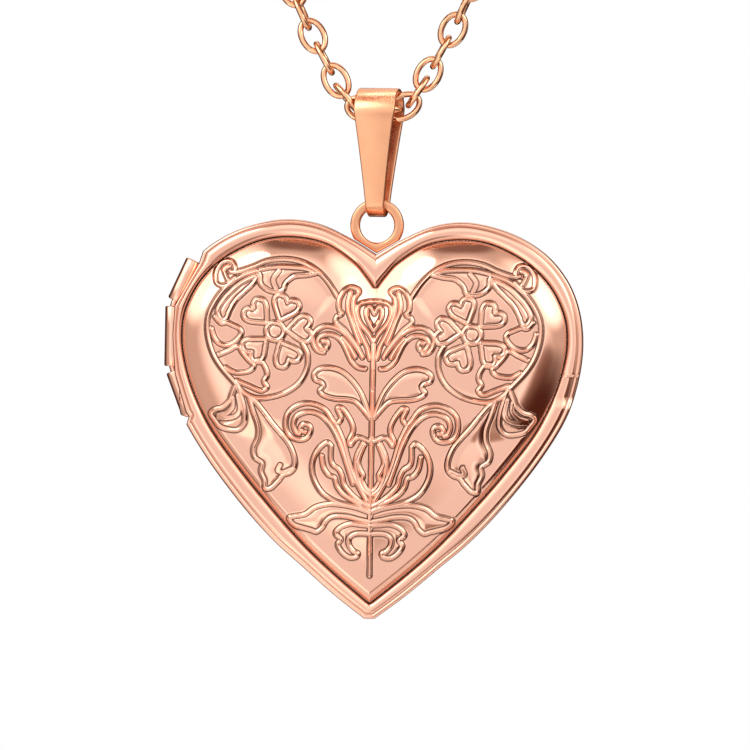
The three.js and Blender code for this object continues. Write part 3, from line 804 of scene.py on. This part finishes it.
def ornament_relief(uv):
    """How far the ornament raises each point, and how deep in a recess the point is, which sets its
    painted shade.
    """
    folded = np.abs(uv[:, 0])
    points = np.stack([folded, uv[:, 1]], axis=1)
    nearest = np.full(len(uv), FAR_AWAY)
    puff = np.zeros(len(uv))
    for line, leaf in ornament_lines():
        low, high = line.min(axis=0) - LINE_REACH, line.max(axis=0) + LINE_REACH
        near = np.flatnonzero(((points > low) & (points < high)).all(axis=1))
        if len(near) == 0:
            continue
        gap = distance_to_line(points[near], line)
        nearest[near] = np.minimum(nearest[near], gap)
        if leaf:
            bulge = PUFF * (1 - (1 - np.clip(gap / PUFF_EDGE, 0, 1)) ** 2)
            puff[near] = np.maximum(puff[near], bulge * inside_outline(points[near], line))
    ridge = RIDGE_HEIGHT * np.cos(np.clip(nearest / RIDGE, 0, 1) * math.pi / 2) ** 1.4
    along_side = np.clip((nearest - RIDGE) / CHASING, 0, 1)
    chased = np.sin(along_side * math.pi)
    return np.maximum(ridge, puff) - CHASING_DEPTH * chased, chased**0.6


# ---- covers -------------------------------------------------------------------------

MIDDLE_KNUCKLE = ((HINGE_X, 3.4), (HINGE_X, 7.6))
UPPER_LEAN = np.array([0.406, 0.914])
LOWER_LEAN = np.array([0.36, -0.933])
UPPER_BEND = np.array([HINGE_X, 7.7])
LOWER_BEND = np.array([HINGE_X, 3.35])
KNUCKLE_START = 0.3
PAST_KNUCKLE = 0.3

UPPER_KNUCKLE = [UPPER_BEND + UPPER_LEAN * (KNUCKLE_START + k * KNUCKLE_LENGTH) for k in (0, 1)]
LOWER_KNUCKLE = [LOWER_BEND + LOWER_LEAN * (KNUCKLE_START + k * KNUCKLE_LENGTH) for k in (0, 1)]
HINGE_ROOM = [
    (LOWER_BEND - (0, PAST_KNUCKLE), UPPER_BEND + (0, PAST_KNUCKLE)),
    (UPPER_BEND, UPPER_KNUCKLE[1] + UPPER_LEAN * PAST_KNUCKLE),
    (LOWER_BEND, LOWER_KNUCKLE[1] + LOWER_LEAN * PAST_KNUCKLE),
]


def in_frame(uv, depth=0.0):
    return np.array([uv[0], depth, uv[1] + ZERO_LEVEL])


def clear_of_knuckles(points, room):
    """Pushes points of a cover out of the round space that the knuckles turn in."""
    for start, end in HINGE_ROOM:
        a, b = in_frame(start), in_frame(end)
        length = np.linalg.norm(b - a)
        along = (b - a) / length
        share = (points - a) @ along
        away = points - a - share[:, None] * along
        reach = np.linalg.norm(away, axis=1)
        inside = (share > 0) & (share < length) & (reach < room)
        grown = away * (room / np.maximum(reach, 0.02))[:, None]
        points = np.where(inside[:, None], a + share[:, None] * along + grown, points)
    return points


PAST_NOTCH = 3


def groove_line():
    """The right half of the groove, carried straight on past the notch."""
    line = catmull(GROOVE_HALF, 10)
    tangent = line[0] - line[1]
    return np.vstack([line[0] + PAST_NOTCH * tangent / np.linalg.norm(tangent), line])


GROOVE_LINE = groove_line()


def from_groove(uv):
    """Distance of each point inside the groove from it, so that the two halves meet in a mitre."""
    return distance_to_line(np.abs(uv) * [1, 0] + uv * [0, 1], GROOVE_LINE)


DOME_FOOT = 1.62            # depth of the front cover's dome at the groove
DOME_RISE = 1.28
BOLSTER_WIDTH = 4.2         # the round shoulder along both lobes
BOLSTER_END = (-1.6, 0.6)   # v over which it gives way to a low step and a gentle slope
STEP_RISE = 0.7
STEP_WIDTH = 0.7
GENTLE_WIDTH = 7
CROWN = 0.4                 # the middle bulges by this much more
CROWN_REACH = 12.5
FIELD_DEPTH = 2.66          # inside the big scrolls
FIELD_RISE = 0.18           # more than that further in
FIELD_RISE_FROM = 1.9       # distance from the groove where it begins
FIELD_RISE_WIDTH = 3
SCROLL_FADE = 0.6
BACK_DEPTH = 2.8
BACK_SHOULDER = 3.8         # width of the back's round shoulder


def inside_scroll(uv):
    """1 in the flat field that each half's big scroll goes round, fading to 0 at the scroll."""
    top = catmull(OPEN_LINES["scroll_top"], 6)
    lower = catmull(OPEN_LINES["scroll_lower"][:-2], 6)
    outline = np.vstack([top, lower[::-1], top[:1]])
    folded = np.stack([np.abs(uv[:, 0]), uv[:, 1]], axis=1)
    share = np.zeros(len(uv))
    near = np.flatnonzero(inside_outline(folded, outline))
    if len(near):
        share[near] = smooth(distance_to_line(folded[near], outline) / SCROLL_FADE)
    return share


def front_dome(uv):
    """A bolster along the lobes, a low step below, a crowned middle and a field in each scroll."""
    edge = from_groove(uv)
    off_centre = ((uv - HEART_CENTRE) ** 2).sum(axis=1)
    crown = CROWN * np.maximum(1 - off_centre / CROWN_REACH**2, 0)
    in_lobes = smooth((uv[:, 1] - BOLSTER_END[0]) / (BOLSTER_END[1] - BOLSTER_END[0]))
    bolster = DOME_RISE * (1 - (1 - np.minimum(edge / BOLSTER_WIDTH, 1)) ** 3)
    step = STEP_RISE * (1 - (1 - np.minimum(edge / STEP_WIDTH, 1)) ** 2)
    gentle = step + (DOME_RISE - STEP_RISE) * smooth(edge / GENTLE_WIDTH)
    shoulder = DOME_FOOT + gentle + (bolster - gentle) * in_lobes
    shoulder = shoulder + crown * smooth(edge / BOLSTER_WIDTH)
    field = FIELD_DEPTH + crown + FIELD_RISE * smooth((edge - FIELD_RISE_FROM) / FIELD_RISE_WIDTH)
    return shoulder + (field - shoulder) * inside_scroll(uv)


def back_dome(uv):
    rise = np.sqrt(1 - (1 - np.minimum(from_groove(uv) / BACK_SHOULDER, 1)) ** 2)
    return GROOVE_DEPTH + (BACK_DEPTH - GROOVE_DEPTH) * rise


WALL_LEVELS = (1.52, 1.2, 0.9, 0.7, 0.5, 0.3)
# The rim's section outside: (measured from, millimetres or share, depth, how deep in a recess, which
# sets the painted shade).
RIM_SECTION = [
    ("groove", 0.03, 1.68, 0.9), ("groove", 0.08, 1.76, 0.4), ("groove", 0.2, 1.84, 0),
    ("share", 0.62, RIM_DEPTH, 0), ("share", 0.5, RIM_DEPTH, 0), ("edge", 0.46, 1.84, 0),
    ("edge", 0.39, 1.77, 0.1), ("edge", 0.345, 1.71, 0.5), ("edge", 0.30, 1.76, 0.1),
    ("edge", 0.24, 1.785, 0), ("edge", 0.15, 1.77, 0), ("edge", 0.07, 1.72, 0),
    ("edge", 0.02, 1.63, 0), *(("edge", 0, level, 0) for level in WALL_LEVELS),
    ("edge", 0, 0.12, 0.3), ("edge", 0.05, SEAM_GAP, 0.6), ("share", 0.2, SEAM_GAP, 0.6),
]
# Rings close to the groove: (share of the way to the middle, how deep in a recess, which sets the
# painted shade).
GROOVE_RINGS = ((0.0066, 0), (0.0036, 0.5), (0.0006, 0.9))
INNER_WALL = ((0.38, SEAM_GAP), (0.4, 0.5), (0.45, 1.25))       # (share of the rim, depth)
INSIDE_RINGS = (0.045, 0.08, 0.13, 0.2, 0.3, 0.45, 0.62, 0.8, 0.93)
INSIDE_DEPTH = 1.25         # the least, in front of or behind the seam plane
COARSE_PAST = 0.5           # share of the way to the middle where every second spoke is enough
INNER_ROOM = KNUCKLE_ROOM + 0.12
THUMB_LEVELS = (0.9, 3.4)   # v of the slanted flat that a thumbnail opens the covers by
THUMB_FADES = (0.9, 0.25)   # millimetres over which it begins and ends
THUMB_DROP = 0.2            # share of the depth that it takes away at the edge


def thumb_notch(uv):
    (low, high), (begins, ends) = THUMB_LEVELS, THUMB_FADES
    within = smooth((uv[:, 1] - low) / begins) * smooth((high - uv[:, 1]) / ends)
    return within * (uv[:, 0] > 0)


def make_cover(name, side, dome, spokes, ring_gap, relief=None):
    """A stamped cover: dome, groove, rim and side wall, then the inside back to its middle."""
    heart = Heart(spokes, hinged=True)
    skin, marks = Skin(), []

    def add(uv, depth, recess=0.0, room=KNUCKLE_ROOM):
        skin.ring(clear_of_knuckles(placed(uv, depth, side), room))
        marks.append(np.broadcast_to(recess, len(uv)))

    # Recess values paint shade into the ornament's chasing, the groove, the rim's fine line, the seam,
    # the inner wall and the inside.
    size = np.abs(heart.groove - HEART_CENTRE).max()
    for share in np.linspace(1, 0, round(size / ring_gap) + 1)[1:-1]:
        uv = heart.inner(share)[::2 if share > COARSE_PAST else 1]
        lift, recess = relief(uv) if relief else (0, 0)
        add(uv, dome(uv) + lift, recess)
    for share, recess in GROOVE_RINGS:
        uv = heart.inner(share)
        add(uv, dome(uv), recess)
    add(heart.groove, GROOVE_DEPTH, 0.9)
    for measured_from, amount, depth, recess in RIM_SECTION:
        share = heart.rim_share(measured_from, amount)
        uv = heart.rim(share)
        add(uv, depth * (1 - THUMB_DROP * thumb_notch(uv) * (1 - share)), recess)
    for share, depth in INNER_WALL:
        add(heart.rim(share), depth, 0.3, INNER_ROOM)
    for share in INSIDE_RINGS:
        uv = heart.inner(share)[::2]
        add(uv, np.maximum(dome(uv) - WALL, INSIDE_DEPTH), 0.1)
    depth = dome(HEART_CENTRE[None, :])[0]
    skin.cap(middle_point(depth, side), at_start=True)
    skin.cap(middle_point(depth - WALL, side))
    marks.append([0.0, 0.0])
    return skin.piece(name, ROSE_GOLD, marks=np.concatenate(marks))


front = make_cover("ornamented_front", -1, front_dome, 1320, 0.06, ornament_relief)
stands_for(front, "locket_front", "rose_gold", "front_cover")
back = make_cover("plain_back", 1, back_dome, 540, 0.2)
stands_for(back, "locket_back", "rose_gold", "back_cover")

# ---- inside: closing lip, photo frames, windows and cards -----------------------------

PLAIN_SPOKES = 360
FRAME_OPENING = 0.13        # shares of the way to the middle
FRAME_STEP = 0.012
FRAME_BEAD = 0.03
PHOTO_EDGE = 0.09
SHEET_RINGS = (0.9, 0.6, 0.3, PHOTO_EDGE + 0.006)
FRAME_BEVEL = 0.05          # share of the rim
SOFT_EDGE = 0.05            # millimetres
LIP_ACROSS = (0.46, 0.76)   # shares of the rim
LIP_END_U = -11.1           # the lip leaves out what lies left of this, between these v
LIP_END_V = (-0.9, 11.5)
LIP_CAP_Y = 0.2
LIP_SECTION = [             # (share of the lip's width, y)
    (0, -0.55), (0.06, -0.66), (0.25, -0.7), (0.75, -0.7), (0.94, -0.66), (1, -0.55),
    (1, 1.15), (0, 1.15),
]


def heart_ring(name, section, material):
    """Skins a closed section of (ring of points, y) round the heart."""
    skin = Skin()
    for uv, y in section:
        skin.ring(placed(uv, y, 1))
    skin.close()
    return skin.piece(name, material, sharp_above=50)


def photo_frame(name, across, y_from, y_to):
    heart = Heart(PLAIN_SPOKES)
    soft = SOFT_EDGE
    outside, bevel = heart.rim(across), heart.rim(across + FRAME_BEVEL)
    inside, step = heart.inner(FRAME_OPENING), heart.inner(FRAME_OPENING - FRAME_STEP)
    bead = heart.inner(FRAME_OPENING - FRAME_BEAD)
    return heart_ring(name, [
        (outside, y_from + soft), (bevel, y_from), (bead, y_from), (step, y_from - soft * 0.8),
        (inside, y_from + soft), (inside, y_to - soft), (step, y_to), (bevel, y_to),
        (outside, y_to - soft),
    ], ROSE_GOLD)


def heart_sheet(name, y_from, y_to, material):
    """A thin heart-shaped sheet with softened edges."""
    heart = Heart(PLAIN_SPOKES)
    soft = (y_to - y_from) / 4
    rings = [(share, y_from) for share in SHEET_RINGS]
    rings += [(PHOTO_EDGE, y_from + soft), (PHOTO_EDGE, y_to - soft)]
    rings += [(share, y_to) for share in reversed(SHEET_RINGS)]
    skin = Skin()
    for share, y in rings:
        skin.ring(placed(heart.inner(share), y, 1))
    skin.cap(middle_point(y_from, 1), at_start=True)
    skin.cap(middle_point(y_to, 1))
    return skin.piece(name, material, sharp_above=50)


def make_lip():
    """The lip that the front cover snaps over. It stops short of the hinge on both sides."""
    heart = Heart(PLAIN_SPOKES)
    outside, inside = (heart.rim(share) for share in LIP_ACROSS)
    level, (low, high) = outside[:, 1], LIP_END_V
    at_hinge = (outside[:, 0] < LIP_END_U) & (level > low) & (level < high)
    start = np.flatnonzero(at_hinge)[-1] + 1
    kept = np.roll(np.arange(len(outside)), -start)[:-at_hinge.sum()]
    a, b = outside[kept], inside[kept]
    skin = Skin()
    for p, q in zip(a, b):
        skin.ring([in_frame(p + share * (q - p), y) for share, y in LIP_SECTION])
    skin.cap(in_frame((a[0] + b[0]) / 2, LIP_CAP_Y), at_start=True)
    skin.cap(in_frame((a[-1] + b[-1]) / 2, LIP_CAP_Y))
    return skin.piece("snap_lip", ROSE_GOLD, sharp_above=50)


stands_for(make_lip(), "locket_back", "rose_gold", "closing_lip")
for half, body, across, (frame_y, window_y, card_y) in (
    ("front", "locket_front", 0.85, ((-1.15, -0.85), (-1.42, -1.22), (-1.62, -1.48))),
    ("back", "locket_back", 0.92, ((0.45, 0.72), (0.8, 1.0), (1.06, 1.2))),
):
    frame_piece = photo_frame(f"{half}_frame", across, *frame_y)
    stands_for(frame_piece, body, "rose_gold", f"{half}_photo_frame")
    window = heart_sheet(f"{half}_window", *window_y, CLEAR)
    stands_for(window, body, "clear_plastic", f"{half}_photo_window")
    card = heart_sheet(f"{half}_card", *card_y, PAPER)
    stands_for(card, body, "photo_paper", f"{half}_photo_card")

# ---- hinge --------------------------------------------------------------------------


def tube_between(name, start, end):
    """A rolled knuckle: a tube with softened ends and a bore."""
    a, b = in_frame(start), in_frame(end)
    length = np.linalg.norm(b - a)
    along = (b - a) / length
    soft, bevel = KNUCKLE_SOFT, KNUCKLE_BEVEL
    side = np.array([0, 1.0, 0])
    across = np.cross(along, side)
    section = [
        (0, KNUCKLE_BORE + bevel), (0, KNUCKLE_RADIUS - soft), (bevel, KNUCKLE_RADIUS - bevel),
        (soft, KNUCKLE_RADIUS), (length / 3, KNUCKLE_RADIUS), (2 * length / 3, KNUCKLE_RADIUS),
        (length - soft, KNUCKLE_RADIUS), (length - bevel, KNUCKLE_RADIUS - bevel),
        (length, KNUCKLE_RADIUS - soft), (length, KNUCKLE_BORE + bevel),
        (length - bevel, KNUCKLE_BORE), (bevel, KNUCKLE_BORE),
    ]
    skin = Skin()
    for at, radius in section:
        ring = circle(radius, 40)
        skin.ring(a + at * along + ring[:, :1] * side + ring[:, 1:] * across)
    skin.close()
    return skin.piece(name, ROSE_GOLD, sharp_above=60)


def make_pin():
    corners = np.array([LOWER_KNUCKLE[1], LOWER_BEND, UPPER_BEND, UPPER_KNUCKLE[1]])
    path = [corners[0]]
    for before, at, after in zip(corners[:-2], corners[1:-1], corners[2:]):
        for other in (before, after):
            path.append(at + (other - at) / np.linalg.norm(other - at) * PIN_BEND)
    path.append(corners[-1])
    line = spaced(np.array([in_frame(p) for p in path]), 80)
    sizes = np.ones(len(line))
    sizes[[0, -1]] = 0.8
    skin = sweep(line, circle(PIN_RADIUS, 24), (0, 1, 0), scale=sizes)
    return skin.piece("bent_hinge_pin", ROSE_GOLD, sharp_above=60)


for which, body, ends in (
    ("upper", "locket_back", UPPER_KNUCKLE),
    ("lower", "locket_back", LOWER_KNUCKLE),
    ("middle", "locket_front", MIDDLE_KNUCKLE),
):
    knuckle = tube_between(f"{which}_knuckle", *ends)
    stands_for(knuckle, body, "rose_gold", f"hinge_knuckle_{which}")
stands_for(make_pin(), "locket_back", "rose_gold", "hinge_pin")

# ---- pendant loop and bail --------------------------------------------------------------

LOOP_OUTER = 1.87
LOOP_INNER = 1.2
LOOP_THICKNESS = 0.8
LOOP_SHOULDER = math.radians(-32)
LOOP_FOOT = OUTER_HALF[0][1] + 0.11 - LOOP_LEVEL
LOOP_SOFT = 0.16


def make_loop():
    """A flat washer-like loop whose lower edge is drawn down into the heart's notch."""
    turn = np.linspace(-math.pi / 2, 1.5 * math.pi, 192, endpoint=False)
    ray = np.stack([np.cos(turn), np.sin(turn)], axis=1)
    shoulder = LOOP_OUTER * np.array([math.cos(LOOP_SHOULDER), math.sin(LOOP_SHOULDER)])
    foot = np.array([0, LOOP_FOOT])
    edge = shoulder - foot
    flank = (foot[1] * edge[0]) / (ray[:, 1] * edge[0] - np.abs(ray[:, 0]) * edge[1])
    below = ray[:, 1] < math.sin(LOOP_SHOULDER)
    outer = np.where(below, flank, LOOP_OUTER)[:, None] * ray
    inner = LOOP_INNER * ray
    half, soft = LOOP_THICKNESS / 2, LOOP_SOFT
    across = LOOP_OUTER - LOOP_INNER
    bend = soft * (1 - math.cos(math.pi / 4))
    side = [
        (0, half - soft), (bend / across, half - bend), (soft / across, half), (0.5, half + 0.01),
        (1 - soft / across, half), (1 - bend / across, half - bend), (1, half - soft),
    ]
    section = [(share, -y) for share, y in side] + side[::-1]
    skin = Skin()
    level = LOOP_LEVEL + ZERO_LEVEL
    for share, y in section:
        ring = inner + share * (outer - inner)
        skin.ring(np.stack([ring[:, 0], np.full(len(ring), y), ring[:, 1] + level], axis=1))
    skin.close()
    return skin.piece("notch_loop", SATIN_GOLD, sharp_above=60)


BAIL_THICKNESS = 0.35
BAIL_FOOT_RADIUS = 1.0
BAIL_FOOT_WIDTH = 1.24
BAIL_TAPER = 1.2
BAIL_EDGE = 0.11
BAIL_TURN = math.radians(10)     # about the vertical, so that its open right side shows
BAIL_STEP = 0.4


def make_bail():
    """A strip folded into a long loop, broad over the chain and narrow at its foot."""
    low, high = box_mm("bail")
    top_radius = high[1] - BAIL_THICKNESS / 2
    top = high[2] - BAIL_THICKNESS / 2 - top_radius
    foot = low[2] + BAIL_THICKNESS / 2 + BAIL_FOOT_RADIUS
    lean = math.asin((top_radius - BAIL_FOOT_RADIUS) / (top - foot))
    arc = []
    for centre, radius, angles in (
        (top, top_radius, np.linspace(-lean, math.pi + lean, 60)),
        (foot, BAIL_FOOT_RADIUS, np.linspace(math.pi + lean, 2 * math.pi - lean, 36)),
    ):
        arc += [(centre + radius * math.sin(t), radius * math.cos(t), t) for t in angles]
    stations = []
    for (z, y, t), (z2, y2, t2) in zip(arc, arc[1:] + arc[:1]):
        gap = math.hypot(z2 - z, y2 - y)
        steps = max(1, round(gap / BAIL_STEP))
        turn = t2 if abs(t2 - t) < 1 else t
        for share in (k / steps for k in range(steps) if gap > 1e-6):
            stations.append((z + (z2 - z) * share, y + (y2 - y) * share, t + (turn - t) * share))
    skin = Skin()
    lowest = foot - BAIL_FOOT_RADIUS
    chain_level = joint_mm("bail_swing")[2]
    for z, y, t in stations:
        span = np.clip((z - lowest) / (chain_level - lowest), 0, 1)
        width = BAIL_FOOT_WIDTH + (high[0] - low[0] - BAIL_FOOT_WIDTH) * span**BAIL_TAPER
        section = rounded_box(width / 2, BAIL_THICKNESS / 2, BAIL_EDGE)
        x, out = section[:, 0], y + section[:, 1] * math.cos(t)
        skin.ring(np.stack([
            x * math.cos(BAIL_TURN) + out * math.sin(BAIL_TURN),
            out * math.cos(BAIL_TURN) - x * math.sin(BAIL_TURN),
            z + section[:, 1] * math.sin(t)], axis=1))
    skin.close()
    return skin.piece("folded_bail", SATIN_GOLD)


stands_for(make_loop(), "locket_back", "peach_gold", "pendant_loop")
bail = stands_for(make_bail(), "bail", "peach_gold", "bail")

# ---- clasp and its rings -------------------------------------------------------------

VOXEL = 0.055               # millimetres
SOFTENING = 6
RING_CUT = 0.05             # radians on each side of the cut
RIVET_SECTION = [           # (share of the half length, share of the radius)
    (-1, 0.55), (-0.96, 0.85), (-0.9, 1), (0, 1), (0.9, 1), (0.96, 0.85), (1, 0.55),
]
SPRING_WIRE = 0.045
SPRING_COILS = 5


def cast_copy(node, name):
    """A copy of a CAD node with its edges softened all over, as a cast and tumbled part has."""
    mesh = frame["nodes"][node].data.copy()
    mesh.name = name
    mesh.transform(Matrix.Scale(1 / MM, 4))
    piece = new_object(name, mesh)
    remesh = piece.modifiers.new("soften", "REMESH")
    remesh.mode = "VOXEL"
    remesh.voxel_size = VOXEL
    remesh.use_smooth_shade = True
    relax = piece.modifiers.new("relax", "SMOOTH")
    relax.iterations = SOFTENING
    relax.factor = 0.5
    settled = piece.evaluated_get(bpy.context.evaluated_depsgraph_get())
    shaped = bpy.data.meshes.new_from_object(settled)
    bpy.data.objects.remove(piece)
    shaped.transform(Matrix.Scale(MM, 4))
    shaped.materials.clear()
    shaped.materials.append(PEACH_GOLD)
    return new_object(name, shaped)


def wire_ring(node, name):
    """A jump ring standing on edge, with the cut where it was opened and pressed shut."""
    low, high = box_mm(node)
    middle = (low + high) / 2
    turn = np.linspace(RING_CUT, 2 * math.pi - RING_CUT, 72) - math.pi / 3
    ray = np.stack([np.cos(turn), np.zeros(len(turn)), np.sin(turn)], axis=1)
    skin = sweep(middle + RING_RADIUS * ray, circle(RING_WIRE / 2, 18), (0, 1, 0))
    return skin.piece(name, PEACH_GOLD, sharp_above=60)


def make_rivet():
    """The pivot rivet, with a low dome at each end."""
    low, high = box_mm("clasp_rivet")
    middle, radius = (low + high) / 2, (high[0] - low[0]) / 2
    half = (high[2] - low[2]) / 2
    skin = Skin()
    for z, share in RIVET_SECTION:
        ring = circle(radius * share, 24)
        skin.ring(middle + np.column_stack([ring, np.full(len(ring), z * half)]))
    skin.cap(middle - (0, 0, half * 1.01), at_start=True)
    skin.cap(middle + (0, 0, half * 1.01))
    return skin.piece("pivot_rivet", PEACH_GOLD, sharp_above=60)


def make_spring():
    """The small coil that closes the gate."""
    low, high = box_mm("clasp_spring")
    middle = (low + high) / 2
    radius = (high[0] - low[0]) / 2 - SPRING_WIRE
    turn = np.linspace(0, SPRING_COILS * 2 * math.pi, SPRING_COILS * 24)
    rise = np.linspace(low[2] + SPRING_WIRE, high[2] - SPRING_WIRE, len(turn)) - middle[2]
    path = middle + np.stack([radius * np.cos(turn), radius * np.sin(turn), rise], axis=1)
    return sweep(path, circle(SPRING_WIRE, 8), (0, 0, 1)).piece("gate_spring", STEEL)


claw = stands_for(cast_copy("clasp_body", "lobster_claw"), "chain", "peach_gold", "clasp_body")
stands_for(cast_copy("clasp_lever", "claw_gate"), "clasp_gate", "peach_gold", "clasp_lever")
rivet = stands_for(make_rivet(), "chain", "peach_gold", "clasp_rivet")
spring = stands_for(make_spring(), "chain", "spring_steel", "clasp_spring")
tail_ring = stands_for(wire_ring("clasp_ring", "tail_ring"), "chain", "peach_gold", "clasp_ring")
hook_ring = stands_for(wire_ring("end_ring", "hook_ring"), "chain", "peach_gold", "end_ring")

# ---- floor and light -------------------------------------------------------------------

FLOOR_LEVEL = -300
FLOOR_RADIUS = 300


def make_floor():
    material, tree, shader = new_material("pale_floor")
    grain = noise(tree, object_place(tree), 30, 4.0)
    tone = mix_colours(tree, between(tree, grain, 0, 1), (0.92, 0.92, 0.92), (0.94, 0.94, 0.94))
    connect(tree, shader, base_color=tone)
    shader.inputs["Roughness"].default_value = 0.85
    edge = circle(FLOOR_RADIUS * MM, 120)
    mesh = bpy.data.meshes.new("floor")
    mesh.from_pydata([(x, y, 0) for x, y in edge], [], [range(len(edge))])
    mesh.materials.append(material)
    floor = new_object("floor", mesh)
    floor.location.z = FLOOR_LEVEL * MM


# The studio's panels, painted over each other in this order: (azimuth, elevation, inner and
# outer half angle in degrees, colour).
STUDIO = [
    (180, 0, 66, 108, (0.1, 0.045, 0.03)),
    (0, 0, 32, 60, (1.5, 1.43, 1.38)),
    (0, 0, 17, 33, (0.98, 0.93, 0.91)),
    (-62, 34, 14, 34, (2.1, 2.0, 1.9)),
    (60, 32, 12, 30, (2.3, 2.2, 2.1)),
    (0, 30, 8, 24, (1.4, 1.32, 1.25)),
    (-15, -36, 9, 21, (1.7, 1.6, 1.45)),
    (14, -32, 5, 17, (0.45, 0.32, 0.26)),
    (45, -15, 5, 18, (0.3, 0.18, 0.14)),
    (62, -36, 14, 35, (0.08, 0.025, 0.015)),
    (0, 78, 13, 22, (0.26, 0.16, 0.13)),
    (180, 50, 16, 40, (1.1, 1.0, 0.9)),
    (-50, 25, 3, 11, (4, 3.8, 3.5)),
    (56, 26, 3, 11, (4, 3.8, 3.5)),
    (-45, -46, 3, 12, (4, 3.8, 3.5)),
]
SURROUND = (0.7, 0.6, 0.53)


def make_studio():
    """Soft light from all round, with darker and brighter panels that the gold reflects."""
    world = bpy.data.worlds.new("soft_studio")
    bpy.context.scene.world = world
    world.use_nodes = True
    tree = world.node_tree
    direction = add_node(tree, "ShaderNodeTexCoord").outputs["Generated"]
    colour = SURROUND
    for azimuth, elevation, inner, outer, panel in STUDIO:
        aim = direction_of(azimuth, elevation)
        facing = add_node(tree, "ShaderNodeVectorMath", {0: direction, 1: aim}, operation="DOT_PRODUCT")
        share = add_node(tree, "ShaderNodeMapRange", {
            "Value": facing.outputs["Value"], "From Min": math.cos(math.radians(outer)),
            "From Max": math.cos(math.radians(inner))}, interpolation_type="SMOOTHSTEP")
        colour = mix_colours(tree, share.outputs["Result"], colour, panel)
    room = tree.nodes["Background"]
    tree.links.new(colour, room.inputs["Color"])
    backdrop = add_node(tree, "ShaderNodeBackground", {"Color": (1, 1, 1, 1), "Strength": 1.0})
    seen = add_node(tree, "ShaderNodeLightPath").outputs["Is Camera Ray"]
    both = add_node(tree, "ShaderNodeMixShader", {
        "Fac": seen, 1: room.outputs[0], 2: backdrop.outputs[0]})
    tree.links.new(both.outputs[0], tree.nodes["World Output"].inputs["Surface"])


def make_lamp(name, place, size, power):
    data = bpy.data.lights.new(name, "AREA")
    data.shape = "DISK"
    data.size = size * MM
    data.energy = power
    lamp = new_object(name, data)
    lamp.location = Vector(place) * MM
    aim = Vector((0, 0, ZERO_LEVEL)) * MM - lamp.location
    lamp.rotation_euler = aim.to_track_quat("-Z", "Y").to_euler()
    return lamp


make_floor()
make_studio()
make_lamp("soft_key", place=(-350, -450, 500), size=350, power=0.8)
card = make_lamp("card_over_bail", place=(0, -60, 600), size=560, power=4)
lit_by_card = bpy.data.collections.new("lit_by_card")
lit_by_card.objects.link(bail)
card.light_linking.receiver_collection = lit_by_card
bpy.context.scene.view_settings.view_transform = "Standard"
